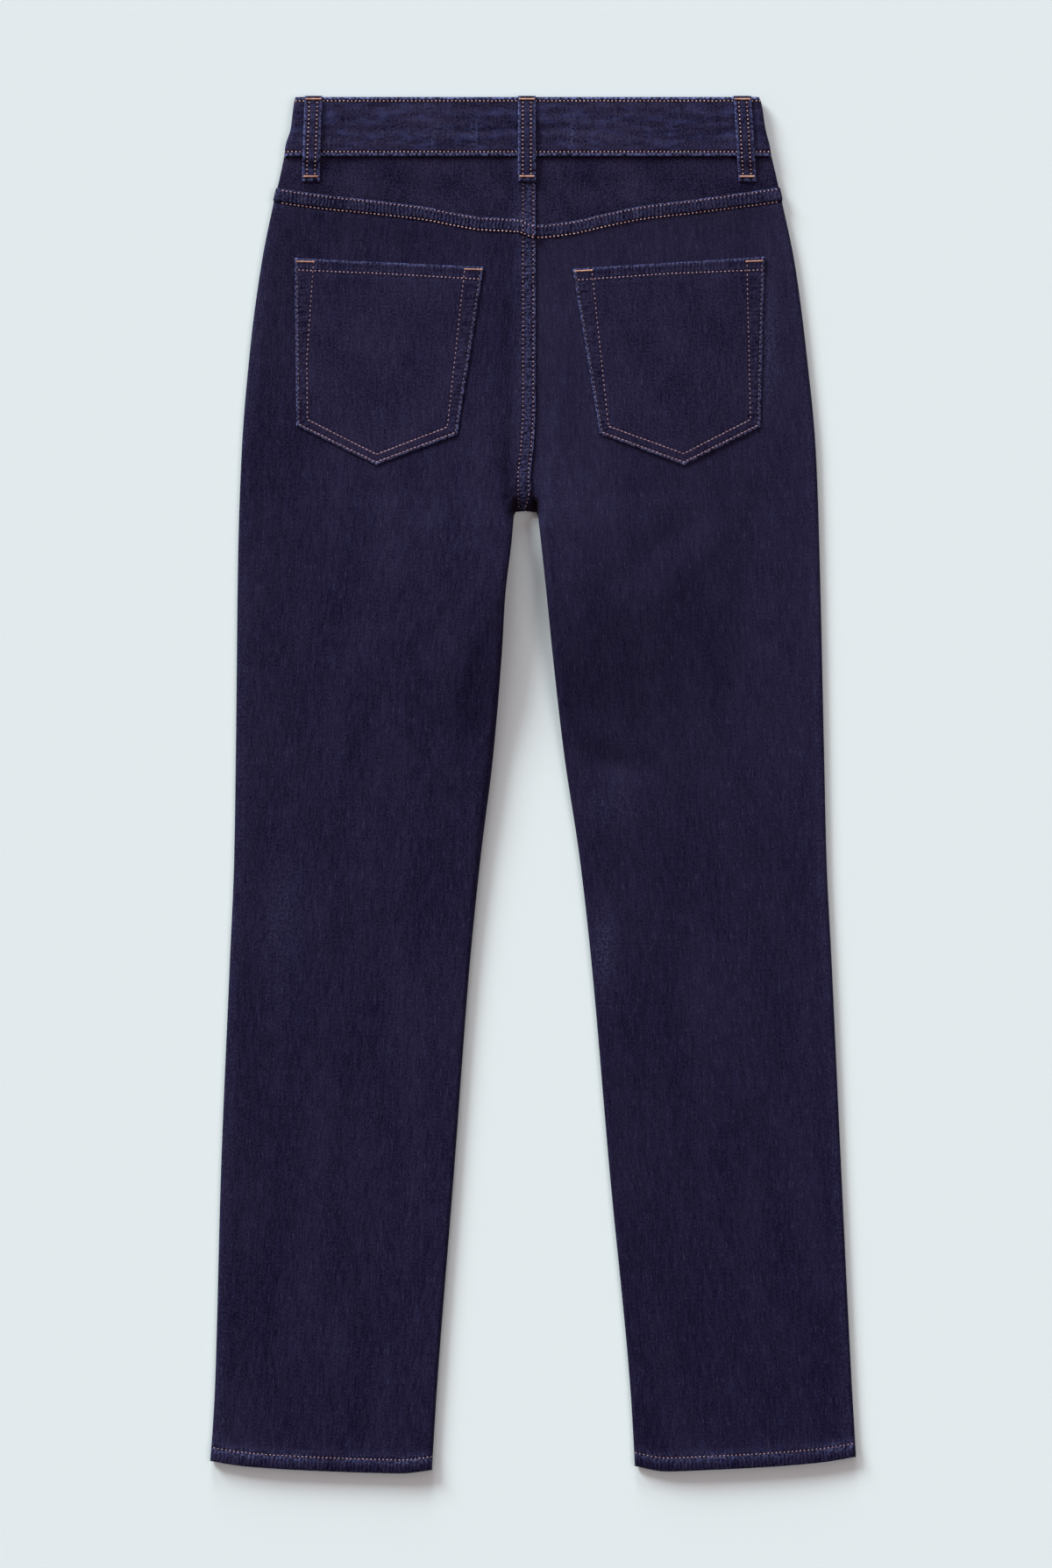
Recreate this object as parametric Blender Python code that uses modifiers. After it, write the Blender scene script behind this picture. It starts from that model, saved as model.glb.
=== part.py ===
"""Straight leg jeans laid flat on a surface, back side up.

Metres, +Z up. The waist points along +Y, the origin is under the middle of the garment, and the underside rests
on z = 0. Places on the garment are given by x, the distance from the seat seam (the wearer's right is positive),
and by down, the distance below the waistband's top edge. Each cloth piece is an open sheet, set point by point on
the garment's shape and given its thickness by a Solidify modifier on its inner side.
"""

import math
from typing import NamedTuple

import bmesh
import bpy
from mathutils import Vector

# Cloth
WALL = 0.0014  # denim panels
BAND_WALL = 0.0022  # waistband, cloth folded double
LOOP_WALL = 0.0018  # belt loops, cloth folded in three
FRONT_LOOP_WALL = 0.0013  # the same, pressed flat under the garment's weight
GAP = 0.00035  # between sewn pieces
LAP = WALL + GAP  # how far a felled edge stands over the cloth that it laps

# Frame
SEAM_X = -0.0028  # the seat seam stands this far from the middle of the box round the garment
TOP_Y = 0.5328  # the waistband's top edge

# Waistband
BAND_HEIGHT = 0.0460
BAND_LOW = 0.0016  # outer face of its front half
BAND_HIGH = 0.0098  # outer face of its back half
BAND_TURN = (BAND_HIGH - BAND_LOW) / 2
BAND_END = 0.006  # the buttoned end stops this far past the centre front
BAND_UNDERLAP = -0.034  # the other end stops here, inside it

# Seams
CROTCH = 0.3210
HEM_START = 1.0470
HEM_RISE = 0.0006  # the turned-up hem stands this far out
HEM_STEP = 0.0040  # and the leg rises to it over this length
LEG_END = 1.0600
BOW_START = 0.9300  # a leg's rows start to bow here, down to the hem
TOP_ROW = 0.0900  # how far down a leg panel's upper edge is on average
TOP_FADE = 0.1200  # its rows go over from the yoke seam's run to level ones along this length
ROW_MARGIN = 0.0001  # no row of points lies nearer to the crotch's level
SIDE_ROUND = 0.0042  # how wide a panel's turn is at the side edges
FELL = 0.0088  # width of the felled yoke seam
RAMP = 0.0030  # a felled edge comes down over this width
TUCK = 0.0013  # the yoke's hidden edge stops this far above the felled seam's foot
FOLD_MARGIN = 0.0010  # and it rises this far above the seam's folded edge
SEAT_LAP = 0.0046  # the left panels' folded edge lies this far right of the seat seam's middle
SEAT_UNDER = -0.0060  # the right panels end here, beneath them
SEAT_RAMP = -0.0075
SEAT_STEP = 0.0060  # the left panels come down to their own level over this width
SEAT_FLAT = 0.0050  # the cloth stays level this far to each side of the seat seam
FLY_LAP = 0.0030  # the left front's edge past the centre front
FLY_UNDER = -0.0080
FLY_STEP = 0.0040  # the right front is raised up to here, to lie behind the left one
SIDE_GAP = 0.0009  # between the outer faces of back and front along a turned edge: their inner faces stand nearer
INSEAM_GAP = 0.0016  # the same along the inseam, whose edge rises towards the crotch
LAP_CLOSE = 0.0120  # a lap narrows to nothing over this length
SEAT_CLOSED = 0.3185  # just above the crotch
FLY_CLOSED = 0.2580
CREST_WIDTH = 0.022  # how quickly the cloth comes down from a raised edge

# Front
FRONT_LIFT = 0.0019  # the front stands this high where the loops and the button are under it
LIFT_END = 0.0690
LIFT_FADE = 0.0420
SCOOP_X = 0.1150  # the front pocket's opening at the waistband
SCOOP_DEPTH = 0.0750
FACING_MARGIN = 0.0180  # the facing goes on this far under the front panel
FACING_INSET = 0.0022  # and stands this far in from the side edge
FACING_END = 0.0790

# Pockets and loops
POCKET_GAP = 0.0005
POCKET_HEM = 0.0095
POCKET_HEM_RISE = 0.0005
LOOP_WIDTH = 0.0133
LOOP_END = 0.0655
LOOP_SLACK = 0.0006
FRONT_LOOP_X = 0.0750
BUTTON_X = -0.0080
BUTTON_RADIUS = 0.0085
BUTTON_THICKNESS = 0.0012

LEFT, RIGHT = -1, 1

DENIM = (0.0152, 0.0128, 0.0347)
DENIM_WORN = (0.0210, 0.0185, 0.0420)
BRASS = (0.42, 0.27, 0.14)


class Outline(NamedTuple):
    """Half widths of the garment at one height, measured from the seat seam."""

    down: float
    left: float
    right: float


OUTSEAM = (
    Outline(0.000, 0.1795, 0.1768),
    Outline(0.005, 0.1826, 0.1800),
    Outline(0.046, 0.1904, 0.1879),
    Outline(0.062, 0.1937, 0.1916),
    Outline(0.085, 0.1992, 0.1968),
    Outline(0.128, 0.2078, 0.2057),
    Outline(0.196, 0.2169, 0.2147),
    Outline(0.278, 0.2235, 0.2224),
    Outline(0.360, 0.2262, 0.2252),
    Outline(0.509, 0.2279, 0.2286),
    Outline(0.591, 0.2292, 0.2305),
    Outline(0.672, 0.2326, 0.2345),
    Outline(0.836, 0.2395, 0.2421),
    Outline(0.999, 0.2440, 0.2501),
    Outline(1.035, 0.2460, 0.2522),
    Outline(1.062, 0.2481, 0.2537),
)

INSEAM = (
    Outline(0.321, 0.0130, 0.0070),
    Outline(0.345, 0.0146, 0.0090),
    Outline(0.387, 0.0187, 0.0133),
    Outline(0.428, 0.0211, 0.0174),
    Outline(0.509, 0.0279, 0.0267),
    Outline(0.591, 0.0380, 0.0390),
    Outline(0.672, 0.0462, 0.0481),
    Outline(0.836, 0.0587, 0.0624),
    Outline(0.999, 0.0716, 0.0780),
    Outline(1.035, 0.0739, 0.0803),
    Outline(1.062, 0.0755, 0.0817),
)


class Height(NamedTuple):
    """Height of the back panels' outer face over the surface at one distance down."""

    down: float
    side: float  # the crest along the side edge
    middle: float
    inner: float  # the crest along the seat seam or the inseam
    side_seam: float
    inner_seam: float
    inner_turn: float  # how far in from the seam that crest is


HEIGHTS = (
    Height(0.046, 0.0076, 0.0076, 0.0076, 0.0052, 0.0076, 0.0200),
    Height(0.075, 0.0078, 0.0068, 0.0064, 0.0046, 0.0064, 0.0200),
    Height(0.110, 0.0076, 0.0056, 0.0056, 0.0040, 0.0056, 0.0200),
    Height(0.200, 0.0074, 0.0046, 0.0050, 0.0036, 0.0050, 0.0200),
    Height(0.260, 0.0074, 0.0046, 0.0062, 0.0036, 0.0050, 0.0220),
    Height(0.295, 0.0074, 0.0050, 0.0110, 0.0036, 0.0042, 0.0230),
    Height(0.321, 0.0074, 0.0054, 0.0165, 0.0036, 0.0032, 0.0150),
    Height(0.335, 0.0074, 0.0054, 0.0180, 0.0036, 0.0060, 0.0095),
    Height(0.428, 0.0074, 0.0048, 0.0140, 0.0036, 0.0055, 0.0080),
    Height(0.509, 0.0072, 0.0042, 0.0090, 0.0035, 0.0040, 0.0055),
    Height(0.600, 0.0068, 0.0037, 0.0068, 0.0034, 0.0034, 0.0045),
    Height(0.836, 0.0066, 0.0035, 0.0066, 0.0033, 0.0033, 0.0042),
    Height(1.035, 0.0068, 0.0040, 0.0068, 0.0034, 0.0034, 0.0042),
    Height(1.062, 0.0078, 0.0052, 0.0078, 0.0039, 0.0039, 0.0042),
)


class Edge(NamedTuple):
    """How far down an edge or seam lies at one distance across."""

    x: float
    down: float


YOKE_SEAM = (
    Edge(-0.200, 0.0700),
    Edge(-0.165, 0.0752),
    Edge(-0.124, 0.0798),
    Edge(-0.082, 0.0850),
    Edge(-0.054, 0.0905),
    Edge(-0.038, 0.0930),
    Edge(-0.009, 0.0948),
    Edge(0.005, 0.0992),
    Edge(0.032, 0.0965),
    Edge(0.060, 0.0902),
    Edge(0.088, 0.0845),
    Edge(0.129, 0.0793),
    Edge(0.171, 0.0735),
    Edge(0.198, 0.0695),
)


class Bow(NamedTuple):
    """How far below the leg's end the hem reaches, by the share of the way from side edge to inseam."""

    share: float
    left: float
    right: float


HEM_BOW = (
    Bow(0.00, -0.0020, -0.0052),
    Bow(0.15, 0.0020, -0.0010),
    Bow(0.40, 0.0050, 0.0026),
    Bow(0.70, 0.0070, 0.0052),
    Bow(0.86, 0.0076, 0.0062),
    Bow(1.00, 0.0050, 0.0020),
)


class SeatLine(NamedTuple):
    """Where the seat seam's middle lies at one distance down."""

    down: float
    x: float


SEAT_LINE = (
    SeatLine(0.040, 0.0000),
    SeatLine(0.240, 0.0000),
    SeatLine(0.270, -0.0014),
    SeatLine(0.295, -0.0038),
    SeatLine(0.321, -0.0032),
)


class Crease(NamedTuple):
    """A soft fold along a straight line. A negative rise is a trough."""

    x_start: float
    down_start: float
    x_end: float
    down_end: float
    width: float
    rise: float


CREASES = (
    Crease(0.172, 0.320, 0.155, 0.500, 0.012, -0.0011),
    Crease(0.128, 0.325, 0.074, 0.372, 0.013, -0.0014),
    Crease(0.150, 0.338, 0.100, 0.392, 0.012, 0.0010),
    Crease(0.036, 0.345, 0.044, 0.420, 0.011, -0.0030),
    Crease(0.070, 0.494, 0.058, 0.512, 0.014, -0.0012),
    Crease(0.032, 0.534, 0.092, 0.528, 0.010, 0.0011),
    Crease(-0.034, 0.440, -0.042, 0.520, 0.013, -0.0012),
    Crease(-0.060, 0.352, -0.130, 0.318, 0.014, 0.0010),
    Crease(-0.070, 0.385, -0.150, 0.420, 0.014, -0.0009),
    Crease(-0.100, 0.600, -0.170, 0.640, 0.018, 0.0009),
)


class Pocket(NamedTuple):
    """The corners of a patch pocket: mouth, sides and point, each as x and down."""

    name: str
    mouth_start: tuple
    mouth_end: tuple
    foot_start: tuple
    point: tuple
    foot_end: tuple


POCKETS = (
    Pocket(
        "back_pocket_left",
        (-0.1822, 0.1248), (-0.0354, 0.1319), (-0.1809, 0.2550), (-0.1190, 0.2856), (-0.0558, 0.2621),
    ),
    Pocket(
        "back_pocket_right",
        (0.0333, 0.1333), (0.1825, 0.1238), (0.0544, 0.2618), (0.1197, 0.2856), (0.1792, 0.2557),
    ),
)


class Loop(NamedTuple):
    """A belt loop on the back: its middle at the top and at the bottom."""

    name: str
    x_top: float
    x_bottom: float


BACK_LOOPS = (
    Loop("loop_back_left", -0.1673, -0.1697),
    Loop("loop_back_centre", -0.0020, -0.0020),
    Loop("loop_back_right", 0.1650, 0.1690),
)


class Stretch(NamedTuple):
    """A stretch of a panel's length, and the rows of faces it gets."""

    end: float
    rows: int


BACK_ROWS = (
    Stretch(FELL, 1),
    Stretch(FELL + RAMP, 1),
    Stretch(0.150, 4),
    Stretch(0.2165, 8),
    Stretch(0.2285, 2),
    Stretch(0.2309, 1),
    Stretch(0.2315, 1),
    Stretch(0.2433, 1),
    Stretch(0.350, 9),
    Stretch(0.560, 6),
    Stretch(HEM_START - TOP_ROW - HEM_STEP, 6),
    Stretch(HEM_START - TOP_ROW, 1),
    Stretch(LEG_END - TOP_ROW, 1),
)
FRONT_ROWS = (
    Stretch(0.0240, 2),
    Stretch(0.0660, 4),
    Stretch(0.0742, 2),
    Stretch(0.0750, 1),
    Stretch(0.1997, 3),
    Stretch(0.2117, 1),
    Stretch(0.2237, 2),
    Stretch(0.2746, 3),
    Stretch(0.2752, 1),
    Stretch(0.2870, 1),
    Stretch(0.340, 3),
    Stretch(0.6037, 4),
    Stretch(0.8657, 2),
    Stretch(0.9967, 2),
    Stretch(LEG_END - BAND_HEIGHT, 1),
)
TURN_STEPS = 4
BACK_COLUMNS = 19
FRONT_COLUMNS = 13
FACING_COLUMNS = 10


def eased(share: float) -> float:
    """A smooth step from 0 to 1."""
    share = min(max(share, 0.0), 1.0)
    return share * share * (3 - 2 * share)


def between(start: float, end: float, share: float) -> float:
    """The value at this share of the way from start to end."""
    return start + (end - start) * share


def along(table: tuple, column: str, at: float) -> float:
    """A smooth curve through one column of a table, whose first column says where each row stands."""
    keys = [row[0] for row in table]
    values = [getattr(row, column) for row in table]
    last = len(keys) - 2
    i = min(max(sum(key <= at for key in keys) - 1, 0), last)
    steps = [(values[k + 1] - values[k]) / (keys[k + 1] - keys[k]) for k in range(last + 1)]

    def slope(k: int) -> float:
        if k in (0, last + 1):
            return steps[min(k, last)]
        before, after = steps[k - 1], steps[k]
        return 0.0 if before * after <= 0 else 2 * before * after / (before + after)

    width = keys[i + 1] - keys[i]
    t = min(max((at - keys[i]) / width, 0.0), 1.0)
    from_start = (1 + 2 * t) * (1 - t) ** 2 * values[i] + t * (1 - t) ** 2 * width * slope(i)
    from_end = t * t * (3 - 2 * t) * values[i + 1] - t * t * (1 - t) * width * slope(i + 1)
    return from_start + from_end


def side_name(side: int) -> str:
    return "left" if side == LEFT else "right"


def outer_x(side: int, down: float) -> float:
    """The side edge."""
    return side * along(OUTSEAM, side_name(side), down)


def inseam_x(side: int, down: float) -> float:
    return side * along(INSEAM, side_name(side), down)


def seat_x(down: float) -> float:
    return along(SEAT_LINE, "x", down)


def yoke_down(x: float) -> float:
    """The folded upper edge of the felled yoke seam."""
    return along(YOKE_SEAM, "down", x)


def place(x: float, down: float, z: float) -> Vector:
    """From a place on the garment to the frame."""
    return Vector((x + SEAM_X, TOP_Y - down, z))


def creases(x: float, down: float) -> float:
    """The sum of all folds here, each fading to nothing towards its sides and ends."""
    total = 0.0
    for fold in CREASES:
        run = Vector((fold.x_end - fold.x_start, fold.down_end - fold.down_start))
        here = Vector((x - fold.x_start, down - fold.down_start))
        share = min(max(here.dot(run) / run.length_squared, 0.0), 1.0)
        across = (here - run * share).length / fold.width
        fade = math.sin(math.pi * between(0.15, 0.85, share))
        total += fold.rise * fade * math.exp(-across * across)
    return total


def crest(distance: float) -> float:
    """How much of a raised edge is left at this distance past its crest."""
    return math.exp(-((max(distance, 0.0) / CREST_WIDTH) ** 2))


def turn(share: float) -> float:
    """A quarter round, from 0 at the seam to 1 where the cloth lies level."""
    share = min(max(share, 0.0), 1.0)
    return math.sqrt(1 - (1 - share) ** 2)


def back_top(side: int, x: float, down: float, out: float = 0.0) -> float:
    """Height of the back's cloth, or of cloth that lies this far out from it."""
    level = {name: along(HEIGHTS, name, down) for name in Height._fields[1:]}
    side_turn = SIDE_ROUND + out
    from_side = abs(outer_x(side, down)) + out - side * x
    if down < CROTCH:
        from_inner = max(abs(x - seat_x(down)) - SEAT_FLAT, 0.0)
        rise_inner = eased(from_inner / level["inner_turn"])
    else:
        from_inner = side * (x - inseam_x(side, down))
        rise_inner = turn(from_inner / level["inner_turn"])
    top = (
        level["middle"]
        + (level["side"] - level["middle"]) * crest(from_side - side_turn)
        + (level["inner"] - level["middle"]) * crest(from_inner - level["inner_turn"])
        + creases(x, down)
    )
    top = max(top, 2 * WALL + GAP) + out
    if from_inner < level["inner_turn"]:
        top = between(level["inner_seam"] + out, top, rise_inner)
    if from_side < side_turn:
        top = between(level["side_seam"], top, turn(from_side / side_turn))
    return top


def front_low(side: int, x: float, down: float) -> float:
    """Height of the front's outer face: on the surface, but for its lifted top and its turned edges."""
    low = FRONT_LIFT * (1 - eased((down - LIFT_END) / LIFT_FADE))
    from_side = abs(outer_x(side, down)) - side * x
    level_side = along(HEIGHTS, "side_seam", down) - SIDE_GAP
    level_inner = along(HEIGHTS, "inner_seam", down) - INSEAM_GAP
    inner_turn = along(HEIGHTS, "inner_turn", down)
    if down > CROTCH:
        from_inner = side * (x - inseam_x(side, down))
        low = between(level_inner, low, turn(from_inner / inner_turn))
    return between(level_side, low, turn(from_side / SIDE_ROUND))


def seat_lap(x: float, down: float) -> float:
    """1 where the left back pieces lie over the right ones, 0 elsewhere."""
    return eased((x - seat_x(down) - SEAT_RAMP + SEAT_STEP) / SEAT_STEP) if down < CROTCH else 0.0


def yoke_lap(x: float, down: float) -> float:
    """1 where a leg panel lies over the yoke, 0 below the felled seam."""
    return 1 - eased((down - yoke_down(x) - FELL) / RAMP)


def yoke_clear(x: float, down: float) -> float:
    """1 where the left yoke has to clear the right leg panel's folded edge, 0 above it."""
    return eased((down - yoke_down(x) + RAMP + FOLD_MARGIN) / RAMP)


def hem_rise(down: float) -> float:
    """1 on the turned-up hem, 0 above it."""
    return eased((down - HEM_START + HEM_STEP) / HEM_STEP)


def leg_top(side: int, x: float, down: float) -> float:
    """Outer face of a back leg panel, with its laps and its hem."""
    top = back_top(side, x, down, LAP * yoke_lap(x, down))
    if side == LEFT:
        top += LAP * seat_lap(x, down) * (1 + yoke_lap(x, down))
    return top


def yoke_top(side: int, x: float, down: float) -> float:
    """Outer face of a yoke."""
    top = back_top(side, x, down)
    if side == LEFT:
        top += LAP * seat_lap(x, down) * (1 + yoke_clear(x, down))
    return top


def lapped_edge(side: int, down: float, laps: tuple, closed: float) -> float:
    """The inner edge of a piece above the crotch: the left one lies over the right one, until the lap closes."""
    closing = min(max((down - closed + LAP_CLOSE) / LAP_CLOSE, 0.0), 1.0)
    over, under = laps
    return seat_x(down) + between(over if side == LEFT else under, side * GAP, closing)


def seat_edge(side: int, down: float) -> float:
    return lapped_edge(side, down, (SEAT_LAP, SEAT_UNDER), SEAT_CLOSED)


def fly_edge(side: int, down: float) -> float:
    return lapped_edge(side, down, (FLY_LAP, FLY_UNDER), FLY_CLOSED)


def inner_edge(side: int, down: float) -> float:
    return seat_edge(side, down) if down < CROTCH else inseam_x(side, down)


def column_share(share: float, columns: int) -> tuple[str, float]:
    """Which stretch a column of faces is in, and how far along it: the side turn, the middle or the inner turn."""
    step = share * columns
    if step <= TURN_STEPS:
        return "side", step / TURN_STEPS
    if step >= columns - TURN_STEPS:
        return "inner", (columns - step) / TURN_STEPS
    return "middle", (step - TURN_STEPS) / (columns - 2 * TURN_STEPS)


def across(side: int, share: float, columns: int, outer: float, side_turn: float, inner: list) -> float:
    """The x of a column, from the side edge at share 0 to the inner edge, the first of the inner columns, at 1."""
    stretch, part = column_share(share, columns)
    if stretch == "side":
        return outer - side * turned(side_turn, part)
    if stretch == "inner":
        return inner[round(part * TURN_STEPS)]
    return between(outer - side * side_turn, inner[TURN_STEPS], part)


def turned(width: float, part: float) -> float:
    """How far in from a turned edge this part of its round is, closer together where it is steeper."""
    return width * (1 - math.cos(part * math.pi / 2))


def turn_columns(side: int, down: float) -> list:
    """Columns of faces round the inseam's edge."""
    width = along(HEIGHTS, "inner_turn", down)
    return [inseam_x(side, down) + side * turned(width, k / TURN_STEPS) for k in range(TURN_STEPS + 1)]


def lap_columns(side: int, down: float, edge: float, ramp: float, width: float) -> list:
    """Columns beside a lapped seam: its edge, both sides of the step that it makes, and two more."""
    step = (ramp, ramp + side * width, ramp + side * (width + 0.005), ramp + side * (width + 0.012))
    return [edge] + [seat_x(down) + x for x in step]


def back_columns(side: int, down: float) -> list:
    if down > CROTCH:
        return turn_columns(side, down)
    ramp = SEAT_RAMP if side == LEFT else SEAT_LAP + RAMP
    return lap_columns(side, down, seat_edge(side, down), ramp, SEAT_STEP)


def front_columns(side: int, down: float) -> list:
    if down > CROTCH:
        return turn_columns(side, down)
    return lap_columns(side, down, fly_edge(side, down), FLY_UNDER if side == LEFT else FLY_STEP, RAMP)


def row_place(rows: tuple, share: float) -> float:
    """The distance below the panel's upper edge of the row at this share of all the rows."""
    step = share * sum(stretch.rows for stretch in rows)
    start = 0.0
    for stretch in rows:
        if step <= stretch.rows:
            return between(start, stretch.end, step / stretch.rows)
        step -= stretch.rows
        start = stretch.end
    return start


def back_leg_place(side: int, share: float, rows_share: float) -> Vector:
    """A point of a back leg panel. Its rows follow the yoke seam at the top and the hem at the bottom."""
    below = row_place(BACK_ROWS, rows_share)
    level = TOP_ROW + below
    top_share = 1 - eased((below - FELL - RAMP) / TOP_FADE)
    bow = along(HEM_BOW, side_name(side), share) * eased((level - BOW_START) / (HEM_START - BOW_START))
    x = between(outer_x(side, level), inner_edge(side, level), share)
    for _ in range(3):
        down = level + (yoke_down(x) - TOP_ROW) * top_share + bow
        down = max(down, CROTCH + ROW_MARGIN) if level > CROTCH else min(down, CROTCH - ROW_MARGIN)
        out = LAP * yoke_lap(x, down)
        outer = outer_x(side, down) + side * out
        x = across(side, share, BACK_COLUMNS, outer, SIDE_ROUND + out, back_columns(side, down))
    return place(x, down, leg_top(side, x, down) + HEM_RISE * hem_rise(down))


def front_leg_place(side: int, share: float, rows_share: float) -> Vector:
    """A point of a front leg panel, cut away at the pocket's opening and lapped at the fly."""
    level = BAND_HEIGHT + GAP + row_place(FRONT_ROWS, rows_share)
    hem_share = eased((level - BOW_START) / (HEM_START - BOW_START))
    down = level + along(HEM_BOW, side_name(side), share) * hem_share
    outer = outer_x(side, down)
    scoop = (down - BAND_HEIGHT) / SCOOP_DEPTH
    if scoop < 1:
        outer = side * between(SCOOP_X, abs(outer), 1 - math.cos(scoop * math.pi / 2))
    x = across(side, share, FRONT_COLUMNS, outer, SIDE_ROUND, front_columns(side, down))
    low = front_low(side, x, down)
    if side == RIGHT:
        lapped = 1 - eased((down - FLY_CLOSED) / LAP_CLOSE)
        low += LAP * lapped * (1 - eased((x - seat_x(down) - FLY_STEP) / RAMP))
    return place(x, down, low)


def yoke_place(side: int, share: float, rows_share: float) -> Vector:
    """A point of a yoke, from the waistband at row share 0 to beneath the felled seam at 1."""
    rows = 5
    step = round(rows_share * rows)
    x = between(outer_x(side, 0.060), seat_edge(side, 0.060), share)
    lower = {rows: FELL - TUCK, rows - 1: -FOLD_MARGIN, rows - 2: -FOLD_MARGIN - RAMP}
    for _ in range(2):
        seam = yoke_down(x)
        if step in lower:
            down = seam + lower[step]
        else:
            down = between(BAND_HEIGHT + 2 * GAP, seam + lower[rows - 2], step / (rows - 2))
        x = across(side, share, BACK_COLUMNS, outer_x(side, down), SIDE_ROUND, back_columns(side, down))
    return place(x, down, yoke_top(side, x, down))


def band_ring(down: float) -> list:
    """The waistband's run at one height as x and z: front left, round the side, back, round, front right."""
    left = outer_x(LEFT, down) + BAND_TURN
    right = outer_x(RIGHT, down) - BAND_TURN
    middle = (BAND_LOW + BAND_HIGH) / 2
    quarter = [math.pi * k / 6 for k in range(1, 6)]
    ring = [(between(BAND_END, left, k / 6), BAND_LOW) for k in range(7)]
    ring += [(left - BAND_TURN * math.sin(a), middle - BAND_TURN * math.cos(a)) for a in quarter]
    ring += [(between(left, right, k / 14), BAND_HIGH) for k in range(15)]
    ring += [(right + BAND_TURN * math.sin(a), middle + BAND_TURN * math.cos(a)) for a in quarter]
    ring += [(between(right, BAND_END + 0.010, k / 5), BAND_LOW) for k in range(6)]
    inside = BAND_LOW + BAND_WALL + GAP
    ring += [(BAND_END + 0.001, inside), (between(BAND_END, BAND_UNDERLAP, 0.5), inside), (BAND_UNDERLAP, inside)]
    return ring


def waistband_place(ring_share: float, rows_share: float) -> Vector:
    downs = (0.0, 0.0014, 0.0050, 0.0230, BAND_HEIGHT - 0.003, BAND_HEIGHT)
    down = downs[round(rows_share * (len(downs) - 1))]
    ring = band_ring(down)
    x, z = ring[round(ring_share * (len(ring) - 1))]
    return place(x, down, z)


def pocket_place(pocket: Pocket, share: float, rows_share: float) -> Vector:
    """A point of a patch pocket: the leg panel's own point there, moved out."""
    mouth = [between(a, b, share) for a, b in zip(pocket.mouth_start, pocket.mouth_end)]
    turn_share = (pocket.point[0] - pocket.foot_start[0]) / (pocket.foot_end[0] - pocket.foot_start[0])
    if share < turn_share:
        foot = [between(a, b, share / turn_share) for a, b in zip(pocket.foot_start, pocket.point)]
    else:
        part = (share - turn_share) / (1 - turn_share)
        foot = [between(a, b, part) for a, b in zip(pocket.point, pocket.foot_end)]
    x, down = (between(a, b, rows_share) for a, b in zip(mouth, foot))
    side = LEFT if x < 0 else RIGHT
    hem = 1 - eased((down - mouth[1] - POCKET_HEM) / 0.002)
    out = POCKET_GAP + WALL + POCKET_HEM_RISE * hem
    return place(x, down, leg_top(side, x, down) + out)


def loop_rows() -> list:
    """How far down each row of a loop is, from its end behind the waistband's edge to its folded foot."""
    over_edge = [(-0.0021, -0.0040), (-0.0021, -0.0012), (-0.0014, -0.0003)]
    level = [(down, 0.0) for down in (0.002, 0.024, 0.0445, 0.0475, 0.0520, 0.0570)]
    return over_edge + level + [(LOOP_END - 0.003, 0.0), (LOOP_END, 0.0)]


def back_loop_place(loop: Loop, share: float, rows_share: float) -> Vector:
    """A point of a belt loop, which lies over the waistband and then on the yoke."""
    rows = loop_rows()
    down, drop = rows[round(rows_share * (len(rows) - 1))]
    middle = between(loop.x_top, loop.x_bottom, max(down, 0.0) / LOOP_END)
    x = middle + (share - 0.5) * LOOP_WIDTH
    side = LEFT if middle < 0 else RIGHT
    corners = [middle - LOOP_WIDTH / 2, middle, middle + LOOP_WIDTH / 2]
    on_yoke = max(yoke_top(side, corner, max(down, BAND_HEIGHT + GAP)) for corner in corners)
    under = between(BAND_HIGH, on_yoke, eased((down - 0.0475) / 0.0095))
    slack = LOOP_SLACK * math.sin(math.pi * min(max(down / BAND_HEIGHT, 0.0), 1.0))
    return place(x, down, under + GAP + LOOP_WALL + slack + drop)


def front_loop_place(side: int, share: float, rows_share: float) -> Vector:
    """A point of a belt loop under the front half of the waistband."""
    x = side * FRONT_LOOP_X + (share - 0.5) * LOOP_WIDTH
    return place(x, between(0.0005, LOOP_END, rows_share), 0.0)


def facing_place(side: int, share: float, rows_share: float) -> Vector:
    """A point of the pocket facing, which shows in the front pocket's opening."""
    down = between(BAND_HEIGHT + 2 * GAP, BAND_HEIGHT + FACING_END, rows_share)
    scoop = min((down - BAND_HEIGHT) / SCOOP_DEPTH, 1.0)
    edge = abs(outer_x(side, down)) - FACING_INSET
    inner = between(SCOOP_X, edge, 1 - math.cos(scoop * math.pi / 2)) - FACING_MARGIN
    step = share * FACING_COLUMNS
    if step < TURN_STEPS:
        x = edge - turned(SIDE_ROUND, step / TURN_STEPS)
    else:
        x = between(edge - SIDE_ROUND, inner, (step - TURN_STEPS) / (FACING_COLUMNS - TURN_STEPS))
    seam = along(HEIGHTS, "side_seam", down) - SIDE_GAP
    low = FRONT_LIFT * (1 - eased((down - LIFT_END) / LIFT_FADE)) + LAP
    z = between(seam, low, turn((edge - x) / SIDE_ROUND))
    return place(side * x, down, z)


def denim_material(name: str, colour: tuple) -> bpy.types.Material:
    """Indigo denim: dark, matt and dyed unevenly only by wear."""
    material = bpy.data.materials.new(name)
    material.use_nodes = True
    shader = material.node_tree.nodes["Principled BSDF"]
    shader.inputs["Base Color"].default_value = (*colour, 1.0)
    shader.inputs["Roughness"].default_value = 0.85
    shader.inputs["Metallic"].default_value = 0.0
    return material


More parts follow.
